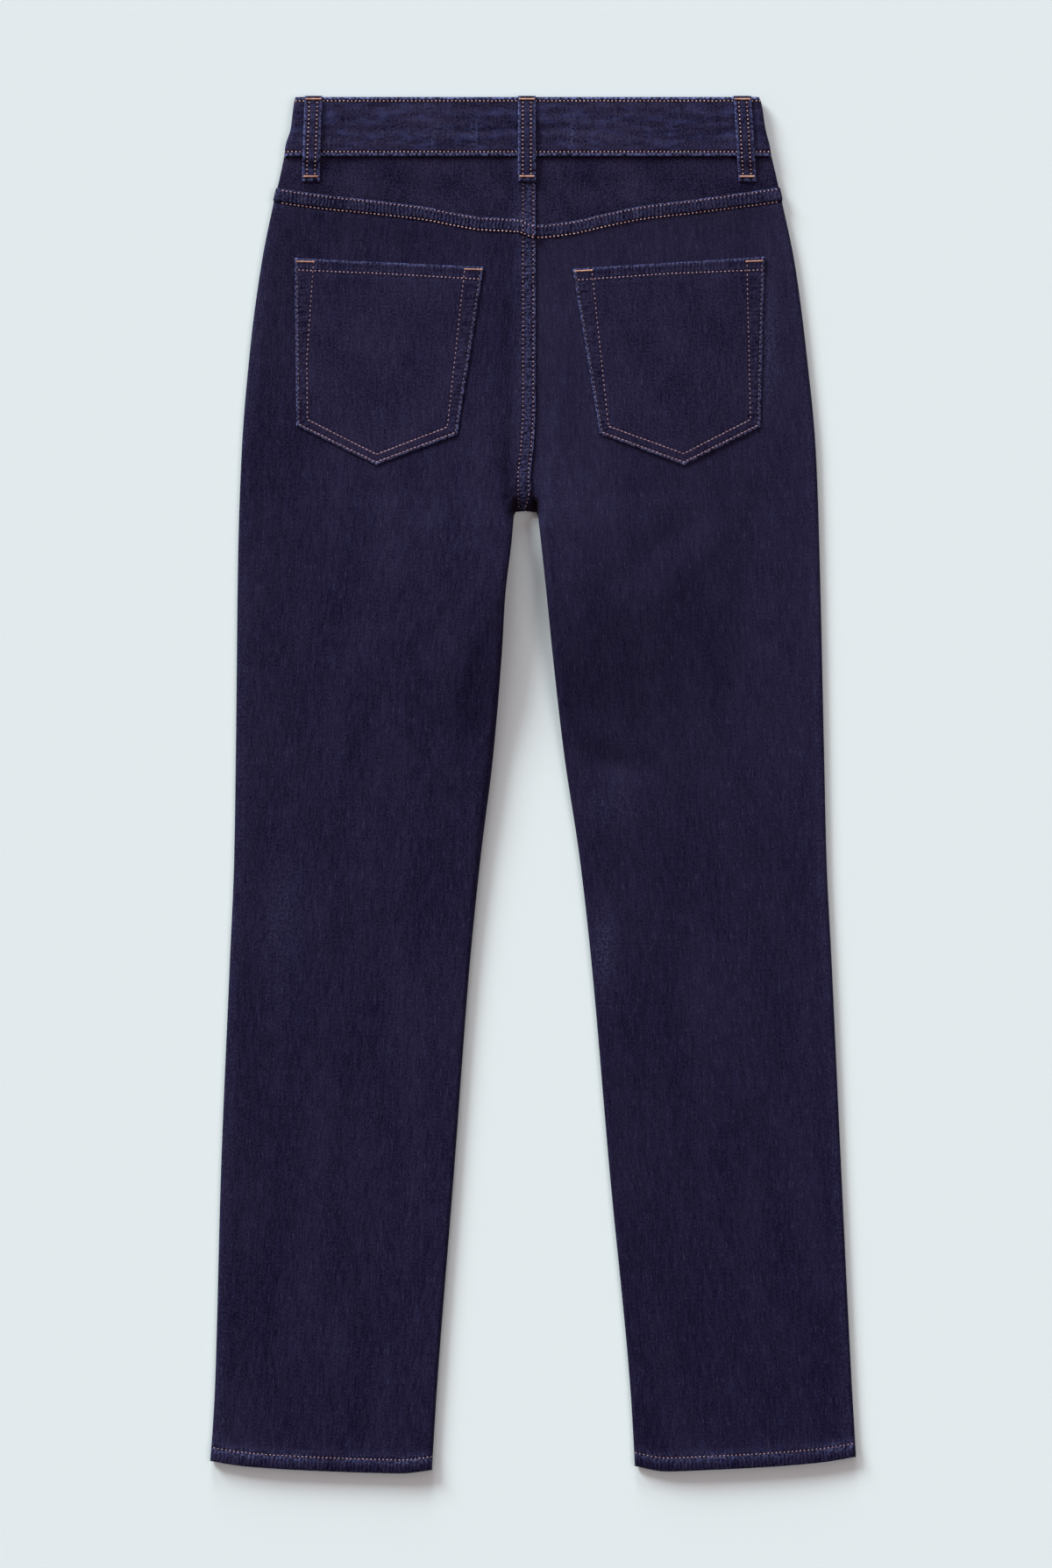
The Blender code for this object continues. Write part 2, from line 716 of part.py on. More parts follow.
def metal_material() -> bpy.types.Material:
    """Aged copper-coloured brass of the waistband button."""
    material = bpy.data.materials.new("antique_brass")
    material.use_nodes = True
    shader = material.node_tree.nodes["Principled BSDF"]
    shader.inputs["Base Color"].default_value = (*BRASS, 1.0)
    shader.inputs["Roughness"].default_value = 0.35
    shader.inputs["Metallic"].default_value = 1.0
    return material


def finish(name: str, mesh: bpy.types.Mesh, collection, material) -> bpy.types.Object:
    """Makes the mesh a named, smooth-shaded object of the garment."""
    obj = bpy.data.objects.new(name, mesh)
    collection.objects.link(obj)
    mesh.materials.append(material)
    mesh.shade_smooth()
    return obj


def cloth(name: str, columns: int, rows: int, point, wall: float, collection, material) -> None:
    """A sheet of cloth: a grid whose points are set by point(column share, row share), with its wall inwards."""
    bm = bmesh.new()
    bmesh.ops.create_grid(bm, x_segments=columns, y_segments=rows, size=0.5)
    for vert in bm.verts:
        vert.co = point(vert.co.x + 0.5, 0.5 - vert.co.y)
    mesh = bpy.data.meshes.new(name)
    bm.to_mesh(mesh)
    bm.free()
    obj = finish(name, mesh, collection, material)
    thickness = obj.modifiers.new("wall", "SOLIDIFY")
    thickness.thickness = wall
    thickness.offset = -1
    thickness.use_even_offset = True
    thickness.use_quality_normals = True


def rows_in(table: tuple) -> int:
    return sum(stretch.rows for stretch in table)


def build_back(collection, denim) -> None:
    """Leg panels and yokes. Column shares run from the side edge inwards."""
    for side in (LEFT, RIGHT):
        name = side_name(side)

        def inward(share: float, side: int = side) -> float:
            return share if side == LEFT else 1 - share

        cloth(
            f"back_leg_{name}", BACK_COLUMNS, rows_in(BACK_ROWS),
            lambda u, v, side=side: back_leg_place(side, inward(u, side), v), WALL, collection, denim,
        )
        cloth(
            f"yoke_{name}", BACK_COLUMNS, 5,
            lambda u, v, side=side: yoke_place(side, inward(u, side), v), WALL, collection, denim,
        )


def build_front(collection, denim) -> None:
    """Front panels and pocket facings, facing down."""
    for side in (LEFT, RIGHT):
        name = side_name(side)

        def inward(share: float, side: int = side) -> float:
            return share if side == RIGHT else 1 - share

        cloth(
            f"front_leg_{name}", FRONT_COLUMNS, rows_in(FRONT_ROWS),
            lambda u, v, side=side: front_leg_place(side, inward(u, side), v), WALL, collection, denim,
        )
        cloth(
            f"front_facing_{name}", FACING_COLUMNS, 7,
            lambda u, v, side=side: facing_place(side, inward(u, side), v), WALL, collection, denim,
        )


def build_waist(collection, denim) -> None:
    """Waistband and belt loops."""
    ring_steps = len(band_ring(0.0)) - 1
    cloth("waistband", ring_steps, 5, waistband_place, BAND_WALL, collection, denim)
    for loop in BACK_LOOPS:
        cloth(
            loop.name, 3, len(loop_rows()) - 1,
            lambda u, v, loop=loop: back_loop_place(loop, u, v), LOOP_WALL, collection, denim,
        )
    for side in (LEFT, RIGHT):
        cloth(
            f"loop_front_{side_name(side)}", 2, 6,
            lambda u, v, side=side: front_loop_place(side, 1 - u, v), FRONT_LOOP_WALL, collection, denim,
        )


def build_pockets(collection, denim) -> None:
    for pocket in POCKETS:
        cloth(
            pocket.name, 12, 12,
            lambda u, v, pocket=pocket: pocket_place(pocket, u, v), WALL, collection, denim,
        )


def build_button(collection, metal) -> None:
    """A turned button head, its rim rounded, lying face down under the waistband's lapped ends."""
    edge = 0.0003
    profile = (
        (0.0, BUTTON_THICKNESS),
        (BUTTON_RADIUS - edge, BUTTON_THICKNESS),
        (BUTTON_RADIUS, BUTTON_THICKNESS - edge),
        (BUTTON_RADIUS, edge),
        (BUTTON_RADIUS - edge, 0.0),
        (BUTTON_RADIUS * 0.72, 0.0),
        (BUTTON_RADIUS * 0.66, edge),
        (0.0, edge),
    )
    mesh = bpy.data.meshes.new("button")
    bm = bmesh.new()
    verts = [bm.verts.new((x, 0.0, z)) for x, z in profile]
    for start, end in zip(verts, verts[1:]):
        bm.edges.new((start, end))
    bm.to_mesh(mesh)
    bm.free()
    obj = finish("button", mesh, collection, metal)
    obj.location = place(BUTTON_X, BAND_HEIGHT * 0.5, 0.0001)
    spin = obj.modifiers.new("turn", "SCREW")
    spin.steps = spin.render_steps = 24
    spin.use_merge_vertices = True
    spin.merge_threshold = 0.00001


def main() -> None:
    for obj in list(bpy.data.objects):
        bpy.data.objects.remove(obj)
    collection = bpy.data.collections.new("straight_leg_jeans")
    bpy.context.scene.collection.children.link(collection)
    denim = denim_material("indigo_denim", DENIM)
    worn = denim_material("indigo_denim_band", DENIM_WORN)
    build_back(collection, denim)
    build_front(collection, denim)
    build_waist(collection, worn)
    build_pockets(collection, denim)
    build_button(collection, metal_material())


main()
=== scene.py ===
"""Looks of a pair of straight leg jeans that lie flat, back side up: cloth, topstitching, bar tacks and button.

Places on the garment are given in metres by x, the distance from the seat seam (the wearer's right is positive), and
by down, the distance below the waistband's top edge.
"""

import logging
import math
from collections.abc import Callable
from dataclasses import dataclass, field
from enum import Enum
from functools import cached_property
from typing import NamedTuple

import bpy
import numpy as np
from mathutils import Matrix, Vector

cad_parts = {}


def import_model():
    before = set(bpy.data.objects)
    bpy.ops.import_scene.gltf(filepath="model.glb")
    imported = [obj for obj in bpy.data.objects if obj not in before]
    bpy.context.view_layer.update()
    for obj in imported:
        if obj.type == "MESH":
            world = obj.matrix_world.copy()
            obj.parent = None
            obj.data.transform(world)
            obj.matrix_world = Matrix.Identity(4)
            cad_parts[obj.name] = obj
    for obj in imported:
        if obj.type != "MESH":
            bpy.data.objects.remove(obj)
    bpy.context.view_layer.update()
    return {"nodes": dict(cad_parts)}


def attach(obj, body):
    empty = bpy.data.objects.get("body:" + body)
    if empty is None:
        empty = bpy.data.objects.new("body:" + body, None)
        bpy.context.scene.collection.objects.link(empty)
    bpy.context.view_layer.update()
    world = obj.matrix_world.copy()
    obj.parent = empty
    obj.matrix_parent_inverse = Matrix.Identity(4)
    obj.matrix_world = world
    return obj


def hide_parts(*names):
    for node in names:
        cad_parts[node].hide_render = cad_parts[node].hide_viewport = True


LOG = logging.getLogger("jeans")
Array = np.ndarray
Socket = bpy.types.NodeSocket
Tree = bpy.types.NodeTree
Spots = tuple[Array, Array, Array]

MM = 0.001
SEAM_X = -0.0028  # where the seat seam stands across the frame
TOP_Y = 0.5328  # where the waistband's top edge stands along the frame
WALL = 0.0014  # the thickness of one layer of denim
GAP = 0.00035  # what lies free between two layers
LAP = WALL + GAP
CROTCH = 0.3210  # how far down the seat seam ends
LEG_END = 1.0600
TOP_ROW = 0.0900  # how far down a back leg starts, before it follows the yoke seam
HEM_ROW = 1.0495  # how far down the hems are sewn
HEM_EDGE = 1.0595  # and where their lower edge is rubbed
BAND_HEIGHT = 0.0460
BAND_HIGH = 0.0098  # the height of the waistband's back over the surface
BAND_LOW = 0.0016  # and of its front
UP = (0.0, 0.0, 1.0)
DOWN = (0.0, 0.0, -1.0)


class Side(Enum):
    """The wearer's two sides, by the sign of x."""

    LEFT = -1
    RIGHT = 1

    @property
    def word(self) -> str:
        """The side's name as the cloth pieces use it."""
        return self.name.lower()

    @classmethod
    def at(cls, x: float) -> "Side":
        """The side on which this x lies."""
        return cls.LEFT if x < 0 else cls.RIGHT


class Zone(Enum):
    """Where a cloth piece lies on the garment. Each zone has its own tone and texture; the right leg's fainter grain is
    painted shade, as though less light falls there.
    """

    LEFT = "left leg"
    RIGHT = "right leg"
    YOKE = "yoke"
    POCKET = "pocket"
    BAND = "band"


class Wear(Enum):
    """How a row's thread looks: kept is its own colour, brightened as painted light on raised rows that catch the
    light; two darker tones are partly indigo staining and partly painted shade; the darkest is painted shade on rows
    deep in the cloth; satin is close satin stitch.
    """

    KEPT = "kept"
    STAINED = "stained"
    DULLED = "dulled"
    SUNK = "sunk"
    SATIN = "satin"


class Pair(NamedTuple):
    """What the left and the right side have at one place along a run."""

    at: float
    left: float
    right: float


class Single(NamedTuple):
    """What a seam has at one place along its run."""

    at: float
    value: float


class Height(NamedTuple):
    """Height of the back's outer face over the surface at one distance down."""

    down: float
    side: float
    middle: float
    inner: float
    side_seam: float
    inner_seam: float
    inner_turn: float
    spread: float


class Fold(NamedTuple):
    """A soft fold along a straight line. A negative rise is a trough."""

    x_start: float
    down_start: float
    x_end: float
    down_end: float
    width: float
    rise: float


class Rub(NamedTuple):
    """A softly paler place, most of them rubbed and one a painted highlight: its middle, how far it reaches across and
    along, and how strong it is.
    """

    x: float
    down: float
    across: float
    along: float
    strength: float


class Pocket(NamedTuple):
    """A patch pocket: its corners, its inner row of stitches, its mouth's row and its bar tacks, as x and down."""

    name: str
    mouth_start: tuple[float, float]
    mouth_end: tuple[float, float]
    foot_start: tuple[float, float]
    point: tuple[float, float]
    foot_end: tuple[float, float]
    inner_row: tuple[tuple[float, float], ...]
    mouth_row: tuple[tuple[float, float], ...]
    tacks: tuple[tuple[float, float, float, float], ...]


class Loop(NamedTuple):
    """A belt loop on the back: its middle at the top and at the bottom."""

    name: str
    x_top: float
    x_bottom: float


class Lamp(NamedTuple):
    """A far soft lamp: which way it shines, its share of the paper's light, how wide it is in degrees, its colour."""

    name: str
    direction: tuple[float, float, float]
    share: float
    angle: float
    colour: tuple[float, float, float]


class Stretch(NamedTuple):
    """A stretch of a panel's length, and the rows of faces it gets."""

    end: float
    rows: int


def rows_of(kind: type, *rows: tuple) -> tuple:
    """The rows of a table as named tuples of this kind."""
    return tuple(kind(*row) for row in rows)


# Half widths of the garment, by how far down they are.
OUTSEAM = rows_of(
    Pair,
    (0.000, 0.1816, 0.1782), (0.005, 0.1828, 0.1800), (0.025, 0.1854, 0.1832), (0.037, 0.1892, 0.1863),
    (0.046, 0.1904, 0.1879), (0.062, 0.1937, 0.1916), (0.085, 0.1992, 0.1968), (0.128, 0.2078, 0.2057),
    (0.196, 0.2169, 0.2147), (0.278, 0.2235, 0.2224), (0.360, 0.2262, 0.2252), (0.509, 0.2279, 0.2286),
    (0.591, 0.2292, 0.2305), (0.672, 0.2326, 0.2345), (0.836, 0.2395, 0.2421), (0.999, 0.2440, 0.2501),
    (1.035, 0.2460, 0.2522), (1.062, 0.2481, 0.2537),
)

# The legs' inner edges, by how far down they are.
INSEAM = rows_of(
    Pair,
    (0.321, 0.0118, 0.0062), (0.345, 0.0138, 0.0088), (0.387, 0.0187, 0.0133), (0.428, 0.0211, 0.0174),
    (0.509, 0.0279, 0.0267), (0.591, 0.0380, 0.0390), (0.672, 0.0462, 0.0481), (0.836, 0.0587, 0.0624),
    (0.999, 0.0716, 0.0780), (1.035, 0.0739, 0.0803), (1.062, 0.0755, 0.0817),
)

HEIGHTS = rows_of(
    Height,
    (0.046, 0.0072, 0.0076, 0.0076, 0.0052, 0.0076, 0.0200, 0.060),
    (0.075, 0.0070, 0.0068, 0.0070, 0.0046, 0.0070, 0.0200, 0.090),
    (0.110, 0.0066, 0.0058, 0.0074, 0.0040, 0.0074, 0.0200, 0.130),
    (0.200, 0.0062, 0.0050, 0.0104, 0.0036, 0.0090, 0.0200, 0.170),
    (0.260, 0.0060, 0.0050, 0.0138, 0.0036, 0.0102, 0.0200, 0.180),
    (0.295, 0.0058, 0.0052, 0.0172, 0.0036, 0.0106, 0.0180, 0.180),
    (0.308, 0.0058, 0.0053, 0.0190, 0.0036, 0.0090, 0.0150, 0.180),
    (0.321, 0.0058, 0.0054, 0.0216, 0.0036, 0.0032, 0.0100, 0.180),
    (0.335, 0.0058, 0.0054, 0.0240, 0.0036, 0.0200, 0.0070, 0.180),
    (0.380, 0.0056, 0.0052, 0.0272, 0.0036, 0.0235, 0.0065, 0.170),
    (0.428, 0.0056, 0.0052, 0.0246, 0.0036, 0.0195, 0.0070, 0.160),
    (0.509, 0.0054, 0.0048, 0.0154, 0.0035, 0.0085, 0.0075, 0.140),
    (0.600, 0.0056, 0.0045, 0.0108, 0.0034, 0.0052, 0.0046, 0.110),
    (0.700, 0.0056, 0.0043, 0.0086, 0.0034, 0.0042, 0.0034, 0.080),
    (0.836, 0.0056, 0.0043, 0.0076, 0.0033, 0.0038, 0.0030, 0.060),
    (1.035, 0.0060, 0.0056, 0.0074, 0.0034, 0.0036, 0.0030, 0.050),
    (1.062, 0.0072, 0.0080, 0.0082, 0.0039, 0.0039, 0.0034, 0.050),
)

# How far down the folded edge of the yoke seam is, by x.
YOKE_SEAM = rows_of(
    Single,
    (-0.200, 0.0700), (-0.165, 0.0752), (-0.124, 0.0798), (-0.082, 0.0850), (-0.054, 0.0905), (-0.038, 0.0930),
    (-0.009, 0.0948), (0.005, 0.0992), (0.032, 0.0965), (0.060, 0.0902), (0.088, 0.0845), (0.129, 0.0793),
    (0.171, 0.0735), (0.198, 0.0695),
)

# How far below the leg's end the hem reaches, by the share of the way from side edge to inseam.
HEM_BOW = rows_of(
    Pair,
    (0.00, -0.0020, -0.0052), (0.15, 0.0020, -0.0010), (0.40, 0.0050, 0.0026), (0.70, 0.0070, 0.0052),
    (0.86, 0.0076, 0.0062), (1.00, 0.0050, 0.0020),
)

# The x of the seat seam's middle, by how far down it is.
SEAT_LINE = rows_of(
    Single,
    (0.040, 0.0000), (0.240, 0.0000), (0.270, -0.0014), (0.295, -0.0038), (0.321, -0.0032),
)

FOLDS = rows_of(
    Fold,
    (-0.012, 0.340, -0.030, 0.500, 0.014, -0.0010), (-0.030, 0.350, -0.085, 0.440, 0.007, -0.0007),
    (-0.022, 0.372, -0.060, 0.470, 0.006, 0.0006), (0.010, 0.305, 0.027, 0.385, 0.004, -0.0012),
    (0.172, 0.320, 0.155, 0.500, 0.012, -0.0015), (0.128, 0.325, 0.074, 0.372, 0.013, -0.0014),
    (0.150, 0.338, 0.100, 0.392, 0.012, 0.0010), (0.046, 0.511, 0.086, 0.522, 0.010, -0.0022),
    (-0.034, 0.440, -0.042, 0.520, 0.013, -0.0016), (-0.060, 0.352, -0.130, 0.318, 0.014, 0.0010),
    (-0.070, 0.385, -0.150, 0.420, 0.014, -0.0009), (-0.100, 0.600, -0.170, 0.640, 0.018, 0.0009),
)

RUBS_AND_HIGHLIGHTS = rows_of(
    Rub,
    # the first row is a painted highlight on the slope below the fold at 0.511 to 0.522 down, which faces the light;
    # the rest are softly rubbed places
    (0.062, 0.548, 0.022, 0.016, 0.075), (0.058, 0.662, 0.009, 0.032, 0.14), (0.184, 0.190, 0.009, 0.050, 0.12),
    (-0.190, 0.640, 0.020, 0.070, 0.07), (-0.043, 0.030, 0.0030, 0.012, 0.19), (0.033, 0.028, 0.0026, 0.016, 0.19),
    (-0.075, 0.034, 0.0026, 0.010, 0.15),
)

POCKETS = (
    Pocket(
        "back_pocket_left",
        (-0.1822, 0.1248), (-0.0354, 0.1319), (-0.1809, 0.2550), (-0.1190, 0.2856), (-0.0558, 0.2621),
        ((-0.1673, 0.1265), (-0.1727, 0.2047), (-0.1722, 0.2502), (-0.1186, 0.2774), (-0.0636, 0.2564),
         (-0.0503, 0.1340)),
        ((-0.1802, 0.1342), (-0.1238, 0.1365), (-0.0381, 0.1414)),
        ((-0.1809, 0.1276, -0.1670, 0.1277), (-0.0505, 0.1336, -0.0366, 0.1340)),
    ),
    Pocket(
        "back_pocket_right",
        (0.0333, 0.1333), (0.1825, 0.1238), (0.0544, 0.2618), (0.1197, 0.2856), (0.1792, 0.2557),
        ((0.0486, 0.1360), (0.0612, 0.2557), (0.1194, 0.2768), (0.1714, 0.2502), (0.1686, 0.1289)),
        ((0.0367, 0.1421), (0.1081, 0.1370), (0.1816, 0.1340)),
        ((0.0352, 0.1352, 0.0488, 0.1345), (0.1678, 0.1276, 0.1807, 0.1270)),
    ),
)

BACK_LOOPS = rows_of(
    Loop,
    ("loop_back_left", -0.1673, -0.1697), ("loop_back_centre", -0.0020, -0.0020), ("loop_back_right", 0.1650, 0.1690),
)

BACK_ROWS = rows_of(
    Stretch,
    (0.0006, 1), (0.0014, 2), (0.0026, 2), (0.0090, 6), (0.0100, 2), (0.0114, 2), (0.0130, 2), (0.0300, 6),
    (0.2000, 48), (0.2309, 16), (0.2315, 1), (0.2433, 8), (0.3500, 36), (0.5000, 40), (0.9200, 84), (0.9530, 9),
    (0.9570, 4), (0.9595, 4), (0.9620, 4), (0.9690, 4), (0.9700, 2),
)
FRONT_ROWS = rows_of(
    Stretch,
    (0.0240, 6), (0.0660, 16), (0.0742, 4), (0.0750, 1), (0.1997, 30), (0.2117, 3), (0.2237, 4), (0.2746, 12),
    (0.2752, 1), (0.2870, 4), (0.3400, 10), (0.6037, 40), (0.8657, 40), (0.9967, 20), (LEG_END - BAND_HEIGHT, 6),
)
YOKE_FOOT = 0.0075  # how far under the leg's folded edge the yoke goes on


def eased(share: Array) -> Array:
    """A smooth step from 0 to 1."""
    share = np.clip(share, 0.0, 1.0)
    return share * share * (3 - 2 * share)


def between(start: Array, end: Array, share: Array) -> Array:
    """The value at this share of the way from start to end."""
    return start + (end - start) * share


def bell(distance: Array, width: float) -> Array:
    """1 at distance 0, falling softly to nothing past this width."""
    return np.exp(-np.square(distance / width))


def turn(share: Array) -> Array:
    """A quarter round, from 0 at the seam to 1 where the cloth lies level."""
    share = np.clip(share, 0.0, 1.0)
    return np.sqrt(1 - np.square(1 - share))


def turned(width: Array, part: Array) -> Array:
    """How far in from a turned edge this part of its round is."""
    return width * (1 - np.cos(part * math.pi / 2))


class Run:
    """A smooth curve through one column of a table, whose first column says where each row stands."""

    def __init__(self, table: tuple, column: str) -> None:
        """Reads the column.

        Args:
            table: rows of one named tuple.
            column: the name of the column.
        """
        self.keys = np.array([row[0] for row in table])
        self.values = np.array([getattr(row, column) for row in table])
        steps = np.diff(self.values) / np.diff(self.keys)
        product = steps[:-1] * steps[1:]
        total = np.where(product > 0, steps[:-1] + steps[1:], 1.0)
        inner = np.where(product > 0, 2 * product / total, 0.0)
        self.slopes = np.concatenate([steps[:1], inner, steps[-1:]])

    def at(self, place: Array) -> Array:
        """The curve's value at each place.

        Args:
            place: where to read the curve.

        Returns:
            The values, held level past both ends.
        """
        place = np.asarray(place, float)
        i = np.clip(np.searchsorted(self.keys, place, side="right") - 1, 0, len(self.keys) - 2)
        width = self.keys[i + 1] - self.keys[i]
        t = np.clip((place - self.keys[i]) / width, 0.0, 1.0)
        start = (1 + 2 * t) * (1 - t) ** 2 * self.values[i] + t * (1 - t) ** 2 * width * self.slopes[i]
        end = t * t * (3 - 2 * t) * self.values[i + 1] - t * t * (1 - t) * width * self.slopes[i + 1]
        return start + end


@dataclass
class Shape:
    """The garment's form: outlines, seams and the height of its cloth, in metres."""

    side_round: float = 0.0032
    fell: float = 0.0088
    ramp: float = 0.0030
    seat_lap: float = 0.0046
    seat_under: float = -0.0060
    seat_ramp: float = -0.0075
    seat_step: float = 0.0060
    seat_flat: float = 0.0050
    step: float = 0.0005
    seat_closed: float = 0.3185
    fly_lap: float = 0.0030
    fly_under: float = -0.0080
    fly_step: float = 0.0040
    fly_closed: float = 0.2580
    lap_close: float = 0.0120
    crest_width: float = 0.0220
    inner_fall: float = 0.50
    low_inner: float = 0.0045
    front_lift: float = 0.0019
    lift_end: float = 0.0690
    lift_fade: float = 0.0420
    front_clear: float = 0.0003
    scoop_x: float = 0.1150
    scoop_depth: float = 0.0750
    side_gap: float = 0.0005
    inseam_gap: float = 0.0008
    corner: float = 0.0030
    seat_rows: tuple[float, float] = (-0.0050, 0.0029)
    yoke_rows: tuple[float, float] = (0.0014, 0.0098)
    thread_sink: float = 0.00028
    thread_width: float = 0.00075

    @cached_property
    def runs(self) -> dict[str, Run]:
        """All curves through the tables, by table and column."""
        found = {f"height_{name}": Run(HEIGHTS, name) for name in Height._fields[1:]}
        for side in Side:
            found[f"outseam_{side.word}"] = Run(OUTSEAM, side.word)
            found[f"inseam_{side.word}"] = Run(INSEAM, side.word)
            found[f"bow_{side.word}"] = Run(HEM_BOW, side.word)
        found["seat"] = Run(SEAT_LINE, "value")
        found["yoke"] = Run(YOKE_SEAM, "value")
        return found

    def outer_x(self, side: Side, down: Array) -> Array:
        """The side edge."""
        return side.value * self.runs[f"outseam_{side.word}"].at(down)

    def inseam_line(self, side: Side, down: Array) -> Array:
        """The inseam, straight on to the crotch."""
        return side.value * self.runs[f"inseam_{side.word}"].at(down)

    def inseam_x(self, side: Side, down: Array) -> Array:
        """The inseam's edge, rounded at the crotch."""
        corner = turn(0.4 + 0.6 * (np.asarray(down, float) - CROTCH) / self.corner)
        return between(self.seat_x(down), self.inseam_line(side, down), corner)

    def seat_x(self, down: Array) -> Array:
        """The seat seam's middle."""
        return self.runs["seat"].at(down)

    def yoke_down(self, x: Array) -> Array:
        """The folded upper edge of the felled yoke seam."""
        return self.runs["yoke"].at(x)

    def height(self, name: str, down: Array, side: Side = Side.LEFT) -> Array:
        """One column of the heights; the right leg's inner edge lies down again sooner than the left's.

        Args:
            name: the column.
            down: places along.
            side: the wearer's side.

        Returns:
            Heights over the surface.
        """
        values = self.runs[f"height_{name}"].at(down)
        if side is Side.RIGHT and name in ("inner", "inner_seam"):
            values = between(values, self.low_inner, self.inner_fall * eased((down - 0.390) / 0.150))
        return values

    def folds(self, x: Array, down: Array) -> Array:
        """The sum of all folds here, each fading to nothing towards its sides and ends.

        Args:
            x: places across.
            down: places along.

        Returns:
            How far the cloth stands out.
        """
        total = np.zeros(np.broadcast(x, down).shape)
        for fold in FOLDS:
            run = (fold.x_end - fold.x_start, fold.down_end - fold.down_start)
            squared = run[0] ** 2 + run[1] ** 2
            share = ((x - fold.x_start) * run[0] + (down - fold.down_start) * run[1]) / squared
            share = np.clip(share, 0.0, 1.0)
            away = np.hypot(x - fold.x_start - run[0] * share, down - fold.down_start - run[1] * share)
            total = total + fold.rise * np.sin(math.pi * between(0.15, 0.85, share)) * bell(away, fold.width)
        return total

    def rubs(self, x: Array, down: Array) -> Array:
        """How much paler the cloth is at the softly rubbed places and at the one painted highlight."""
        return sum(rub.strength * bell(x - rub.x, rub.across) * bell(down - rub.down, rub.along) for rub in RUBS_AND_HIGHLIGHTS)

    def back_top(self, side: Side, x: Array, down: Array, out: Array = 0.0) -> Array:
        """Height of the back's cloth.

        Args:
            side: the wearer's side.
            x: places across.
            down: places along.
            out: how far out from the panel the cloth lies.

        Returns:
            Heights over the surface.
        """
        level = {name: self.height(name, down, side) for name in Height._fields[1:]}
        side_turn = self.side_round + out
        from_side = np.abs(self.outer_x(side, down)) + out - side.value * x
        above = down < CROTCH
        closing = eased((down - CROTCH + 0.014) / 0.010)
        hollow = side.value * (self.inseam_line(side, CROTCH) - self.seat_x(CROTCH))
        flat = between(self.seat_flat, hollow, closing)
        from_seat = np.maximum(np.abs(x - self.seat_x(down)) - flat, 0.0)
        from_inner = np.where(above, from_seat, side.value * (x - self.inseam_line(side, down)))
        share = from_inner / level["inner_turn"]
        rise_inner = np.where(above, between(eased(share), turn(share), closing), turn(share))
        top = (
            level["middle"]
            + (level["side"] - level["middle"]) * bell(np.maximum(from_side - side_turn, 0.0), self.crest_width)
            + (level["inner"] - level["middle"]) * (1 - eased((from_inner - level["inner_turn"]) / level["spread"]))
            + self.folds(x, down)
        )
        top = np.maximum(top, 2 * WALL + GAP) + out
        inner = between(level["inner_seam"] + out, top, rise_inner)
        top = np.where(from_inner < level["inner_turn"], inner, top)
        outer = between(level["side_seam"], top, turn(from_side / side_turn))
        return np.where(from_side < side_turn, outer, top)

    def scoop(self, edge: Array, down: Array) -> Array:
        """The front pocket's opening, which curves from the waistband out to this side edge."""
        share = np.clip((down - BAND_HEIGHT) / self.scoop_depth, 0.0, 1.0)
        return between(self.scoop_x, edge, 1 - np.cos(share * math.pi / 2))

    def lifted(self, down: Array) -> Array:
        """How far the waistband lifts the front off the surface."""
        return self.front_lift * (1 - eased((down - self.lift_end) / self.lift_fade))

    def front_low(self, side: Side, x: Array, down: Array) -> Array:
        """Height of the front's outer face, lifted at the top and turned up at its edges.

        Args:
            side: the wearer's side.
            x: places across.
            down: places along.

        Returns:
            Heights over the surface.
        """
        low = self.front_clear + self.lifted(down)
        from_side = np.abs(self.outer_x(side, down)) - side.value * x
        level_side = self.height("side_seam", down) - self.side_gap
        level_inner = self.height("inner_seam", down, side) - self.inseam_gap
        from_inner = side.value * (x - self.inseam_x(side, down))
        turned_in = between(level_inner, low, turn(from_inner / self.height("inner_turn", down)))
        low = np.where(down > CROTCH, turned_in, low)
        return between(level_side, low, turn(from_side / self.side_round))

    def lap_at_seat(self, x: Array, down: Array) -> Array:
        """1 where the left back pieces lie over the right ones, 0 elsewhere."""
        lap = eased((x - self.seat_x(down) - self.seat_ramp + self.seat_step) / self.seat_step)
        return np.where(down < CROTCH, lap, 0.0)

    def lap_at_yoke(self, x: Array, down: Array) -> Array:
        """1 where a leg panel lies over the yoke, 0 below the felled seam."""
        return 1 - eased((down - self.yoke_down(x) - self.fell) / self.ramp)

    def yoke_clear(self, x: Array, down: Array) -> Array:
        """1 where the left yoke has to clear the right leg panel's folded edge, 0 above it."""
        return eased((down - self.yoke_down(x) + self.ramp + MM) / self.ramp)

    def leg_top(self, side: Side, x: Array, down: Array) -> Array:
        """Outer face of a back leg panel, with its laps.

        Args:
            side: the wearer's side.
            x: places across.
            down: places along.

        Returns:
            Heights over the surface.
        """
        lapped = self.lap_at_yoke(x, down)
        top = self.back_top(side, x, down, LAP * lapped)
        if side is Side.LEFT:
            top = top + LAP * self.lap_at_seat(x, down) * (1 + lapped)
        return top

    def yoke_top(self, side: Side, x: Array, down: Array) -> Array:
        """Outer face of a yoke.

        Args:
            side: the wearer's side.
            x: places across.
            down: places along.

        Returns:
            Heights over the surface.
        """
        top = self.back_top(side, x, down)
        if side is Side.LEFT:
            top = top + LAP * self.lap_at_seat(x, down) * (1 + self.yoke_clear(x, down))
        return top

